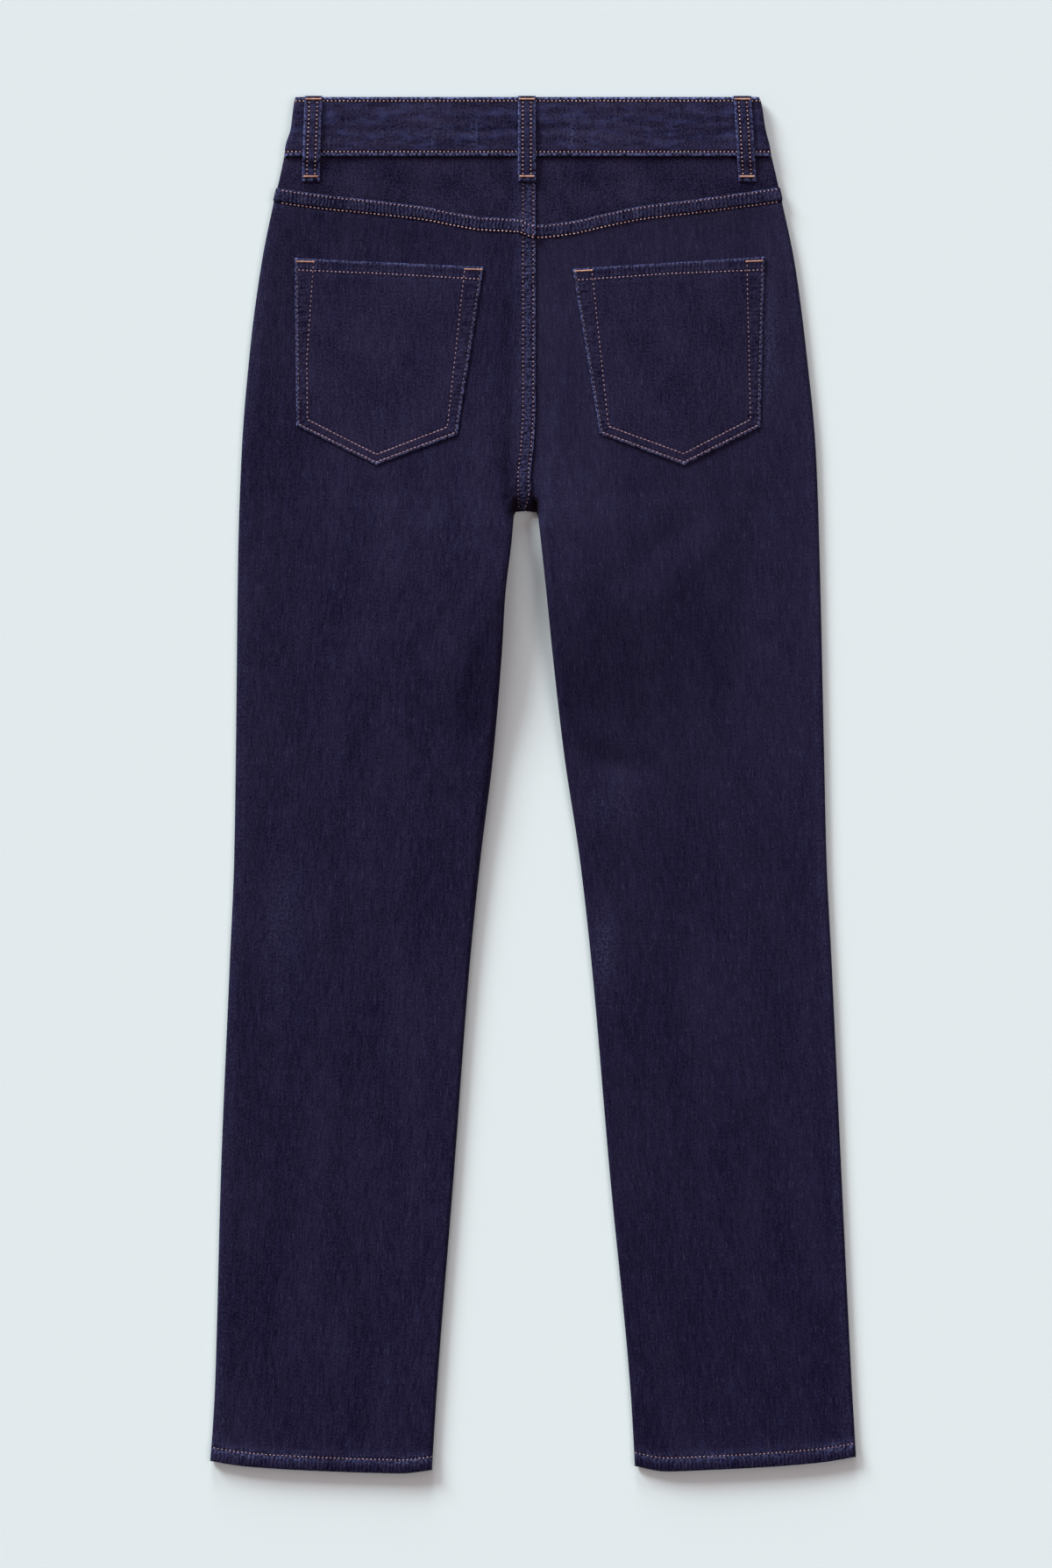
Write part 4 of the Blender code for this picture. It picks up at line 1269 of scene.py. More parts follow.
@dataclass
class FrontLeg:
    """A front leg panel, cut away at the pocket's opening and lapped at the fly."""

    side: Side
    scoop_rows: tuple[float, float] = (0.0018, 0.0082)
    fly_width: float = 0.0380
    fly_end: float = 0.2050
    fly_gap: float = 0.0064

    def opening(self, down: Array) -> Array:
        """The pocket opening's edge, as a distance from the seam's middle."""
        return SHAPE.scoop(np.abs(SHAPE.outer_x(self.side, down)), down)

    def rows(self) -> list[Array]:
        """The rows of stitches: the pocket's opening, the hem, and on the left panel the fly and the seam below it."""
        side, paths = self.side, []
        down = np.linspace(BAND_HEIGHT + 0.002, BAND_HEIGHT + SHAPE.scoop_depth - 0.004, 120)
        edge = np.stack([side.value * self.opening(down), down], axis=-1)
        run = np.gradient(edge, axis=0)
        inward = np.stack([-run[:, 1], run[:, 0]], axis=-1) / np.linalg.norm(run, axis=1, keepdims=True)
        paths += [edge + side.value * inward * offset for offset in self.scoop_rows]
        share = np.linspace(0.03, 0.97, 160)
        x = between(SHAPE.outer_x(side, np.full(160, 1.05)), SHAPE.inseam_x(side, np.full(160, 1.05)), share)
        bow = SHAPE.runs[f"bow_{side.word}"].at(share)
        paths.append(np.stack([x, HEM_ROW + bow], axis=-1))
        if side is Side.LEFT:
            turns = np.linspace(0, math.pi / 2, 40)
            for inset in (0.0, self.fly_gap):
                width, end = self.fly_width - inset, self.fly_end - inset
                bend = np.stack([-width * np.cos(turns), end - width * (1 - np.sin(turns))], axis=-1)
                paths.append(np.concatenate([[(-width, BAND_HEIGHT + 0.002)], bend]))
            below = np.linspace(self.fly_end + 0.006, 0.312, 80)
            paths.append(np.stack([SHAPE.fly_edge(side, below) - 0.0020, below], axis=-1))
        return [traced(path, lambda x, down: SHAPE.front_low(side, x, down)) for path in paths]

    def patch(self) -> Patch:
        """Sets out the panel's points."""
        side, shape = self.side, SHAPE
        offsets = PANELS.fly_left if side is Side.LEFT else PANELS.fly_right
        columns = PANELS.columns(offsets, 30)
        level = (BAND_HEIGHT + GAP + row_levels(FRONT_ROWS))[:, None]
        level = np.broadcast_to(level, (len(level), columns))
        x = np.broadcast_to(np.linspace(0, 1, columns)[None, :], level.shape)
        for _ in range(2):
            across = (x - x[:, :1]) / (x[:, -1:] - x[:, :1])
            down = level + shape.runs[f"bow_{side.word}"].at(across) * hem_share(level)
            edge = np.abs(shape.outer_x(side, down))
            cut_away = edge - self.opening(down)
            x = PANELS.across(side, down, np.zeros(x.shape), shape.fly_edge, offsets, cut_away)
        low = shape.front_low(side, x, down)
        if side is Side.RIGHT:
            lapped = 1 - eased((down - shape.fly_closed) / shape.lap_close)
            low = low + LAP * lapped * (1 - eased((x - shape.seat_x(down) - shape.fly_step) / shape.ramp))
        from_edge = np.abs(x) - edge + cut_away
        wear = 0.5 * bell(from_edge, 0.0009) * (cut_away > MM) + 0.25 * bell(level - HEM_EDGE, 0.0012)
        # painted shade along the hem's row of stitches
        seam = bell(level - HEM_ROW, 0.0009)
        patch = Patch(place(x, down, low), leg_cut(side, x, down), wear, seam, np.zeros(x.shape))
        return patch if side is Side.RIGHT else patch.flipped()


@dataclass
class Yoke:
    """A back yoke, from the waistband to beneath the felled seam."""

    side: Side

    def patch(self) -> Patch:
        """Sets out the yoke's points."""
        side, shape = self.side, SHAPE
        offsets = PANELS.seat(side)
        columns = PANELS.columns(offsets)
        rows = np.concatenate([np.linspace(0.0, 0.8, 17), np.linspace(0.8, 1.0, 6)[1:]])[:, None]
        down = np.broadcast_to(0.060, (len(rows), columns))
        for _ in range(3):
            x = PANELS.across(side, down, np.zeros(down.shape), shape.seat_edge, offsets)
            seam_down = shape.yoke_down(x)
            upper = between(BAND_HEIGHT + 0.0004, seam_down - 0.004, rows / 0.8)
            lower = between(seam_down - 0.004, seam_down + YOKE_FOOT, (rows - 0.8) / 0.2)
            down = np.where(rows <= 0.8, upper, lower)
        z = shape.yoke_top(side, x, down)
        zero = np.zeros(x.shape)
        wear, seam, pucker = zero, zero, zero
        if side is Side.LEFT:
            wear, seam, pucker = seat_finish(x, down, 1.0)
            z = z - sum(shape.sink(x - row) for row in shape.seat_rows)
        # painted shade beside the waistband's lower edge and along the leg's folded edge on the yoke
        seam = seam + 0.55 * bell(down - BAND_HEIGHT, 0.0022) + 0.35 * bell(down - shape.yoke_down(x), 0.0022)
        patch = Patch(place(x, down, z), np.stack([x, down + 3.0], axis=-1), wear, seam, pucker)
        return patch if side is Side.LEFT else patch.flipped()


@dataclass
class Waistband:
    """The waistband, one strip round the waist whose ends lap at the centre front."""

    wall: float = 0.0022
    end: float = 0.0060
    underlap: float = -0.0340
    upper_row: float = 0.0031
    lower_row: float = 0.0426
    ripple: float = 0.00036
    back_steps: int = 170
    front_steps: int = 31
    upper_from: float = 0.0085

    @property
    def radius(self) -> float:
        """Radius of the band's turn at the sides."""
        return (BAND_HIGH - BAND_LOW) / 2

    def upper(self, z: Array) -> Array:
        """1 on the band's back half, 0 on its front."""
        return eased((z - self.upper_from) / (BAND_HIGH - self.upper_from))

    def levels(self) -> Array:
        """How far down each row of points is."""
        top = (0.0, 0.0003, 0.0008, 0.0014, 0.0020, 0.0026, 0.0031, 0.0036, 0.0043, 0.0052)
        foot = (0.0400, 0.0412, 0.0420, 0.0426, 0.0432, 0.0439, 0.0446, 0.0453, 0.0458, 0.0460)
        return np.concatenate([top, np.linspace(0.0070, 0.0385, 19), foot])

    def ring(self, down: Array) -> tuple[Array, Array, Array]:
        """The band's run at each height.

        Args:
            down: places along, one for each row.

        Returns:
            x and z of each point, and the distance along the strip.
        """
        left = SHAPE.outer_x(Side.LEFT, down)[:, None] + self.radius
        right = SHAPE.outer_x(Side.RIGHT, down)[:, None] - self.radius
        middle = (BAND_LOW + BAND_HIGH) / 2
        angles = np.linspace(0, math.pi, 15)[None, 1:-1]
        front_left = between(self.end, left, np.linspace(0, 1, self.front_steps)[None, :])
        back = between(left, right, np.linspace(0, 1, self.back_steps)[None, :])
        front_right = between(right, self.end + 0.010, np.linspace(0, 1, self.front_steps)[None, :])
        inside = BAND_LOW + self.wall + GAP
        tail = np.broadcast_to([self.end + 0.001, between(self.end, self.underlap, 0.5), self.underlap], (len(left), 3))
        x = np.concatenate(
            [front_left, left - self.radius * np.sin(angles), back, right + self.radius * np.sin(angles),
             front_right, tail], axis=1,
        )
        front, curve = np.full(self.front_steps, BAND_LOW), self.radius * np.cos(angles[0])
        level = [front, middle - curve, np.full(self.back_steps, BAND_HIGH), middle + curve, front, np.full(3, inside)]
        z = np.broadcast_to(np.concatenate(level)[None, :], x.shape)
        steps = np.hypot(np.diff(x, axis=1), np.diff(z, axis=1))
        run = np.concatenate([np.zeros((len(left), 1)), np.cumsum(steps, axis=1)], axis=1)
        return x, z, run

    def rise(self, x: Array, down: Array) -> Array:
        """The back half's relief: soft ripples along it, rolled edges and pulled-in rows.

        Args:
            x: places across.
            down: places along.

        Returns:
            How far the cloth stands out.
        """
        faded = eased(down / 0.008) * eased((0.040 - down) / 0.008)
        waves = (
            np.sin(2 * math.pi * (down - 0.002 * np.sin(x * 23)) / 0.0155 + 0.6)
            * (0.6 + 0.4 * np.sin(x * 31 + 1.0))
            + 0.6 * np.sin(2 * math.pi * (down + 0.003 * np.sin(x * 17 + 2)) / 0.0095) * np.sin(x * 47 + 0.4)
        )
        rolled = 0.0003 * bell(down - 0.0446, 0.0010) + 0.00018 * bell(down - 0.0016, 0.0010)
        rows = SHAPE.sink(down - self.upper_row) + SHAPE.sink(down - self.lower_row)
        edges = 0.0007 * bell(down, 0.0007) + 0.0006 * bell(down - BAND_HEIGHT, 0.0006)
        return self.ripple * faded * waves + rolled - rows - edges

    def patch(self) -> Patch:
        """Sets out the band's points."""
        down = self.levels()
        x, z, run = self.ring(down)
        down = np.broadcast_to(down[:, None], x.shape)
        z = z + self.upper(z) * self.rise(x, down)
        wear = 0.95 * bell(down - 0.0449, 0.0011) + 0.95 * bell(down - 0.0010, 0.0013) + 0.04 + SHAPE.rubs(x, down)
        # painted shade along the band's two rows of stitches
        seam = bell(down - self.upper_row, 0.0011) + bell(down - self.lower_row, 0.0011)
        wear = wear * (1 - 0.9 * seam)
        seam = 1.25 * seam
        middle = 44 + self.back_steps // 2
        cut = np.stack([run - run[:, middle : middle + 1] + 1.5, down + 5.0], axis=-1)
        return Patch(place(x, down, z), cut, wear, seam, 0.30 * bell(down - 0.0440, 0.0020))

    def row(self, down: float) -> tuple[Array, Array]:
        """A row of stitches round the band, on its outer face.

        Args:
            down: how far down it runs.

        Returns:
            Its points and outward directions.
        """
        x, z, _ = self.ring(np.array([down]))
        x, z = x[0, :-4], z[0, :-4]
        points = place(x, down, z + self.upper(z) * self.rise(x, np.full(x.shape, down)))
        tangent = np.gradient(np.stack([x, z], axis=-1), axis=0)
        normal = np.stack([-tangent[:, 1], np.zeros(len(x)), tangent[:, 0]], axis=-1)
        return points, normal / np.linalg.norm(normal, axis=1, keepdims=True)


@dataclass
class PatchPocket:
    """A patch pocket with a hemmed mouth and a pointed foot, sewn flat on the leg."""

    pocket: Pocket
    steps: int = 118
    edge_row: float = 0.0020
    out: float = 0.0019
    hem: float = 0.0095
    hem_rise: float = 0.0005
    fullness: float = 0.0005

    def corner_share(self) -> float:
        """How far along the foot the point is."""
        p = self.pocket
        return (p.point[0] - p.foot_start[0]) / (p.foot_end[0] - p.foot_start[0])

    def outline(self, share: Array, row: Array) -> tuple[Array, Array]:
        """The place at this share across and this share down.

        Args:
            share: 0 at the mouth's start, 1 at its end.
            row: 0 at the mouth, 1 at the foot.

        Returns:
            x and down.
        """
        p = self.pocket
        at = self.corner_share()
        parts = []
        for k in (0, 1):
            mouth = between(p.mouth_start[k], p.mouth_end[k], share)
            first = between(p.foot_start[k], p.point[k], np.clip(share / at, 0, 1))
            second = between(p.point[k], p.foot_end[k], np.clip((share - at) / (1 - at), 0, 1))
            parts.append(between(mouth, np.where(share < at, first, second), row))
        return parts[0], parts[1]

    def border(self) -> Array:
        """The pocket's outline as corners, round from the mouth's start."""
        p = self.pocket
        return np.array([p.mouth_start, p.foot_start, p.point, p.foot_end, p.mouth_end])

    def from_line(self, x: Array, down: Array, corners: Array) -> Array:
        """The distance of each place from a line through these corners.

        Args:
            x: places across.
            down: places along.
            corners: x and down of each corner.

        Returns:
            The distances.
        """
        nearest, corners = np.full(np.broadcast(x, down).shape, 1.0), np.array(corners)
        for start, end in zip(corners[:-1], corners[1:]):
            run = end - start
            share = np.clip(((x - start[0]) * run[0] + (down - start[1]) * run[1]) / (run @ run), 0, 1)
            nearest = np.minimum(nearest, np.hypot(x - start[0] - run[0] * share, down - start[1] - run[1] * share))
        return nearest

    def top(self, x: Array, down: Array) -> Array:
        """Height of the pocket's outer face.

        Args:
            x: places across.
            down: places along.

        Returns:
            Heights over the surface.
        """
        side = Side.at(self.pocket.point[0])
        p = self.pocket
        slope = (p.mouth_end[1] - p.mouth_start[1]) / (p.mouth_end[0] - p.mouth_start[0])
        mouth = p.mouth_start[1] + slope * (x - p.mouth_start[0])
        hem = 1 - eased((down - mouth - self.hem) / 0.002)
        from_edge = self.from_line(x, down, self.border())
        from_mouth = np.maximum(down - mouth, 0.0)
        inside = eased(from_edge / 0.030) * eased((from_mouth - 0.010) / 0.03)
        rows = SHAPE.sink(from_edge - self.edge_row) + SHAPE.sink(self.from_line(x, down, p.inner_row))
        rows = rows + SHAPE.sink(self.from_line(x, down, p.mouth_row))
        lowered = 0.00055 * bell(from_edge, 0.0007) + 0.0004 * bell(from_mouth, 0.0006)
        return (
            SHAPE.leg_top(side, x, down) + self.out + self.hem_rise * hem + self.fullness * inside - rows - lowered
        )

    def patch(self) -> Patch:
        """Sets out the pocket's points."""
        even = np.linspace(0, 1, self.steps)
        fine = 0.5 - 0.5 * np.cos(even * math.pi)
        spread = between(even, fine, 0.35)
        share = np.where(np.abs(spread - self.corner_share()) < 0.5 / self.steps, self.corner_share(), spread)
        share, row = np.meshgrid(share, between(even, fine, 0.35))
        x, down = self.outline(share, row)
        z = self.top(x, down)
        from_edge = self.from_line(x, down, self.border())
        mouth = self.from_line(x, down, self.border()[[0, 4]])
        p = self.pocket
        inner, mouth_row = self.from_line(x, down, p.inner_row), self.from_line(x, down, p.mouth_row)
        wear = 0.62 * bell(from_edge - 0.0006, 0.0009) + 0.42 * bell(mouth - 0.0008, 0.0012)
        point = np.hypot(x - p.point[0], down - p.point[1])
        wear = wear + 0.8 * bell(point, 0.0026) + 0.10 * bell(mouth_row - 0.0022, 0.0016)
        for corner in self.border():
            wear = wear + 0.60 * bell(np.hypot(x - corner[0], down - corner[1]), 0.0020)
        # painted shade along the pocket's rows of stitches
        seam = 0.6 * (bell(from_edge - self.edge_row, 0.0009) + bell(inner, 0.0009) + bell(mouth_row, 0.0009))
        upright = np.minimum(self.from_line(x, down, self.border()[:2]), self.from_line(x, down, self.border()[3:]))
        sides = eased((0.0120 - upright) / 0.003) * eased((mouth - 0.010) / 0.003)
        pucker = 0.45 * eased((0.0095 - mouth) / 0.002) - 0.60 * sides
        cut = np.stack([x + 7.0 + p.point[0], down + 2.0], axis=-1)
        return Patch(place(x, down, z), cut, wear, seam, pucker)

    def inset_row(self) -> Array:
        """The outer row of stitches, inside the edge, as places."""
        border = self.border()
        centre = border.mean(axis=0)
        lines = []
        for start, end in zip(border[:-1], border[1:]):
            run = (end - start) / np.linalg.norm(end - start)
            normal = np.array([-run[1], run[0]])
            if normal @ (centre - start) < 0:
                normal = -normal
            lines.append((start + normal * self.edge_row, run))
        corners = [lines[0][0] + lines[0][1] * 0.002]
        for (a, u), (b, v) in zip(lines[:-1], lines[1:]):
            t = ((b[0] - a[0]) * v[1] - (b[1] - a[1]) * v[0]) / (u[0] * v[1] - u[1] * v[0])
            corners.append(a + u * t)
        last, run = lines[-1]
        length = np.linalg.norm(border[-1] - border[-2])
        corners.append(last + run * (length - 0.002))
        return np.array(corners)


@dataclass
class BeltLoop:
    """A belt loop on the back, folded in three, over the waistband and down on the yoke."""

    loop: Loop
    width: float = 0.0138
    end: float = 0.0655
    slack: float = 0.0010
    wall: float = 0.0018
    row_x: float = 0.0031
    tacks: tuple[tuple[float, float], ...] = ((0.0019, 0.0058), (0.0617, 0.0056))

    def levels(self) -> tuple[Array, Array]:
        """How far down each row of points is, and how far it drops behind the band's edge."""
        over = [(-0.0007, -0.0013), (-0.0006, -0.0007), (-0.0003, -0.0002)]
        level = np.concatenate([np.linspace(0.0003, 0.0440, 30), np.linspace(0.0452, 0.0632, 16)])
        on = [(down, 0.0) for down in level]
        foot = [(0.0642, -0.0001), (0.0650, -0.0004), (self.end, -0.0009)]
        down, drop = zip(*(over + on + foot))
        return np.array(down), np.array(drop)

    def middle(self, down: Array) -> Array:
        """The loop's middle at each distance down."""
        return between(self.loop.x_top, self.loop.x_bottom, np.maximum(down, 0.0) / self.end)

    def top(self, from_middle: Array, down: Array) -> Array:
        """Height of the loop's outer face.

        Args:
            from_middle: places across, from the loop's middle.
            down: places along.

        Returns:
            Heights over the surface.
        """
        middle = self.middle(down)
        side = Side.at(self.loop.x_top)
        under_yoke = np.maximum(down, BAND_HEIGHT + GAP)
        corners = [SHAPE.yoke_top(side, middle + k * self.width / 2, under_yoke) for k in (-1, 0, 1)]
        on_yoke = np.maximum.reduce(corners)
        under = between(BAND_HIGH, on_yoke, eased((down - 0.0475) / 0.0095))
        slack = self.slack * np.sin(math.pi * np.clip(down / BAND_HEIGHT, 0, 1))
        edge = self.width / 2 - np.abs(from_middle)
        rows = SHAPE.sink(np.abs(from_middle) - self.row_x)
        crown = 0.00025 * bell(from_middle, 0.0022)
        return under + GAP + self.wall + slack + crown - rows - 0.0005 * bell(edge, 0.0007)

    def patch(self) -> Patch:
        """Sets out the loop's points."""
        down, drop = self.levels()
        half = self.width / 2
        steps = np.array([0, 0.04, 0.09, 0.16, 0.22, 0.265, 0.31, 0.37, 0.44, 0.5])
        from_middle = np.concatenate([steps, 1 - steps[-2::-1]]) * self.width - half
        down, from_middle = np.meshgrid(down, from_middle, indexing="ij")
        drop = np.broadcast_to(drop[:, None], down.shape)
        x = self.middle(down) + from_middle
        z = self.top(from_middle, down) + drop
        edge = half - np.abs(from_middle)
        wear = 0.65 * bell(edge - 0.0004, 0.0010) + 0.08 + 0.8 * bell(down - self.end, 0.0022)
        # painted shade along the loop's two rows of stitches
        seam = bell(np.abs(from_middle) - self.row_x, 0.0010)
        wear = wear * (1 - 0.9 * seam)
        cut = np.stack([x + 11.0, down + 9.0], axis=-1)
        return Patch(place(x, down, z), cut, wear, seam, -0.25 * np.ones(x.shape))


@dataclass
class FrontLoop:
    """A belt loop on the front, pressed flat under the waistband."""

    side: Side
    at: float = 0.0750
    width: float = 0.0133
    end: float = 0.0655
    wall: float = 0.0009
    row_x: float = 0.0031
    clear: float = 0.0005
    tacks: tuple[float, ...] = (0.0022, 0.0628)
    tack_half: float = 0.0056

    def patch(self) -> Patch:
        """Sets out the loop's points."""
        share, row = np.meshgrid(np.linspace(1, 0, 13), np.linspace(0, 1, 34))
        x = self.side.value * self.at + (share - 0.5) * self.width
        down = between(0.0005, self.end, row)
        edge = self.width * (0.5 - np.abs(share - 0.5))
        z = 0.0003 * bell(edge, 0.0007) + self.clear
        wear = 0.5 * bell(edge, 0.001) + 0.12
        # painted shade along the loop's two rows of stitches
        seam = bell(np.abs(share - 0.5) * self.width - self.row_x, 0.0009)
        cut = np.stack([x + 13.0, down + 9.0], axis=-1)
        return Patch(place(x, down, z), cut, wear, seam, np.zeros(x.shape))


@dataclass
class FrontFacing:
    """The pocket facing, which shows in the front pocket's opening."""

    side: Side
    margin: float = 0.0180
    inset: float = 0.0022
    end: float = 0.0790

    def patch(self) -> Patch:
        """Sets out the facing's points."""
        shape = SHAPE
        share, row = np.meshgrid(np.linspace(0, 1, 34), np.linspace(0, 1, 26))
        down = between(BAND_HEIGHT + 2 * GAP, BAND_HEIGHT + self.end, row)
        edge = np.abs(shape.outer_x(self.side, down)) - self.inset
        inner = shape.scoop(edge, down) - self.margin
        x = np.where(share < 0.25, edge - turned(shape.side_round, share / 0.25),
                     between(edge - shape.side_round, inner, (share - 0.25) / 0.75))
        seam = shape.height("side_seam", down) - 0.0009
        low = shape.lifted(down) + LAP + shape.front_clear
        z = between(seam, low, turn((edge - x) / shape.side_round))
        zero = np.zeros(x.shape)
        x = x * self.side.value
        patch = Patch(place(x, down, z), np.stack([x + 15.0, down], axis=-1), zero, zero, zero)
        return patch if self.side is Side.RIGHT else patch.flipped()


@dataclass
class Sewing:
    """Rows of lockstitch and satin bar tacks, each joined as one mesh."""

    threads: dict[Wear, bpy.types.Material]
    pitch: float = 0.0031
    length: float = 0.0017
    width: float = 0.00108
    height: float = 0.00070
    lift: float = 0.00008
    dip: float = 0.00045
    stray: float = 0.00006
    uneven: float = 0.06
    tack_pitch: float = 0.00052
    tack_slant: float = 0.16
    tack_lift: float = 0.00022
    tack_scale: tuple[float, float, float] = (0.84, 0.92, 0.95)
    rows: list[tuple[Array, Array, float, float]] = field(default_factory=list)
    tacks: list[tuple[Array, Array, Array]] = field(default_factory=list)

    @cached_property
    def stitch(self) -> tuple[Array, list[tuple[int, ...]]]:
        """One stitch along x: a spindle of a few dozen faces whose ends dive into the cloth."""
        deselect()
        bpy.ops.mesh.primitive_uv_sphere_add(segments=8, ring_count=6, radius=0.5, rotation=(0.0, math.pi / 2, 0.0))
        bead = bpy.context.object
        bpy.ops.object.transform_apply(location=False, rotation=True, scale=False)
        points = np.array([v.co for v in bead.data.vertices])
        faces = [tuple(polygon.vertices) for polygon in bead.data.polygons]
        mesh = bead.data
        bpy.data.objects.remove(bead)
        bpy.data.meshes.remove(mesh)
        points[:, 0] = np.sin(points[:, 0] * math.pi / 1.25) / np.sin(math.pi / 2.5) * 0.5
        points = points * (self.length, self.width, self.height)
        points[:, 2] -= self.dip * np.square(2 * points[:, 0] / self.length)
        return points, faces

    def sew(
        self, points: Array, normals: Array | tuple[float, ...] = UP, longer: float = 1.0, closer: float = 1.0
    ) -> None:
        """Adds a row of stitches.

        Args:
            points: the row's path.
            normals: the cloth's outward direction, one for all points or one for each.
            longer: how much longer than usual its pitch is.
            closer: how much more of its pitch each stitch fills.
        """
        self.rows.append((points, np.broadcast_to(normals, points.shape), longer, closer))

    def tack(self, start: Array, end: Array, normal: tuple[float, ...] = UP) -> None:
        """Adds a bar tack from start to end, on cloth that faces this way."""
        self.tacks.append((start, end, np.array(normal)))

    def placed(self, points: Array, normals: Array, longer: float, closer: float) -> Spots:
        """Where each stitch of a row goes.

        Args:
            points: the row's path.
            normals: the cloth's outward direction along it.
            longer: how much longer than usual its pitch is.
            closer: how much more of its pitch each stitch fills.

        Returns:
            The stitches' middles, directions and outward directions.
        """
        steps = np.linalg.norm(np.diff(points, axis=0), axis=1)
        run = np.concatenate([[0.0], np.cumsum(steps)])
        count = max(int(run[-1] / self.pitch / longer), 1)
        at = (np.arange(count) + 0.5) * run[-1] / count
        half = self.length * 0.4 * longer * closer
        before, middles, after, up = (
            np.stack([np.interp(where, run, values[:, k]) for k in range(3)], axis=-1)
            for values, where in ((points, at - half), (points, at), (points, at + half), (normals, at))
        )
        along = after - before
        size = np.linalg.norm(along, axis=1, keepdims=True)
        return middles, along / size * longer * closer, up

    def packed(self, start: Array, end: Array, normal: Array) -> Spots:
        """Where each stitch of a bar tack goes.

        Args:
            start: one end of the tack.
            end: its other end.
            normal: the cloth's outward direction.

        Returns:
            The stitches' middles, directions and outward directions.
        """
        run = end - start
        length = np.linalg.norm(run)
        count = round(length / self.tack_pitch)
        at = (np.arange(count) + 0.5) / count
        slant = np.cross(normal, run / length) + self.tack_slant * run / length
        along = np.broadcast_to(slant / np.linalg.norm(slant), (count, 3))
        return start + run * at[:, None], along, np.broadcast_to(normal, (count, 3))

    def joined(
        self, name: str, spots: Spots, lift: float, material: bpy.types.Material, scale: tuple[float, float, float]
    ) -> bpy.types.Object:
        """Joins copies of the stitch as one mesh.

        Args:
            name: the piece's name.
            spots: the middle, direction and outward direction of each copy.
            lift: how far out its middle stands.
            material: its finish.
            scale: how much longer, wider and taller each copy is.

        Returns:
            The joined piece.
        """
        middles, along, up = spots
        shape, faces = self.stitch
        shape = shape * scale
        straight = along / np.linalg.norm(along, axis=1, keepdims=True)
        up = up - straight * np.sum(up * straight, axis=1, keepdims=True)
        up = up / np.linalg.norm(up, axis=1, keepdims=True)
        aside = np.cross(up, straight)
        jitter = np.random.default_rng(7).normal(0.0, 1.0, (len(middles), 2))
        middles = middles + up * lift + aside * (jitter[:, :1] * self.stray)
        sizes = 1 + self.uneven * jitter[:, 1]
        axes = np.stack([along * sizes[:, None], aside, up], axis=1)
        points = np.einsum("pk,skj->spj", shape, axes) + middles[:, None, :]
        count = len(shape)
        mesh = bpy.data.meshes.new(name)
        all_faces = [tuple(v + k * count for v in face) for k in range(len(middles)) for face in faces]
        mesh.from_pydata(points.reshape(-1, 3).tolist(), [], all_faces)
        mesh.materials.append(material)
        mesh.shade_smooth()
        piece = bpy.data.objects.new(name, mesh)
        bpy.context.scene.collection.objects.link(piece)
        return piece

    def finish(self, name: str, wear: Wear = Wear.STAINED) -> list[bpy.types.Object]:
        """Makes the rows and tacks added so far, and starts afresh.

        Args:
            name: what the sewing is on.
            wear: the tone of the rows' thread, partly indigo staining and partly painted light and shade.

        Returns:
            The pieces made.
        """
        stitches, tacks = [self.placed(*row) for row in self.rows], [self.packed(*tack) for tack in self.tacks]
        made = []
        for kind, parts, lift, thread, scale in (
            ("stitches", stitches, self.lift, wear, (1.0, 1.0, 1.0)),
            ("bar_tacks", tacks, self.tack_lift, Wear.SATIN, self.tack_scale),
        ):
            if parts:
                spots = tuple(np.concatenate(part) for part in zip(*parts))
                made.append(self.joined(f"{kind}_{name}", spots, lift, self.threads[thread], scale))
        for piece in made:
            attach(piece, "root")
            LOG.info("%s: %d faces", piece.name, len(piece.data.polygons))
        self.rows, self.tacks = [], []
        return made


def traced(corners: Array, top: Callable[[Array, Array], Array], step: float = 0.0008) -> Array:
    """A path through these places, laid on the cloth.

    Args:
        corners: x and down of each corner.
        top: gives the cloth's height.
        step: how close the path's points are.

    Returns:
        Points in the frame.
    """
    corners = np.asarray(corners, float)
    run = np.concatenate([[0.0], np.cumsum(np.linalg.norm(np.diff(corners, axis=0), axis=1))])
    at = np.linspace(0, run[-1], max(int(run[-1] / step), 2))
    x, down = np.interp(at, run, corners[:, 0]), np.interp(at, run, corners[:, 1])
    return place(x, down, top(x, down))


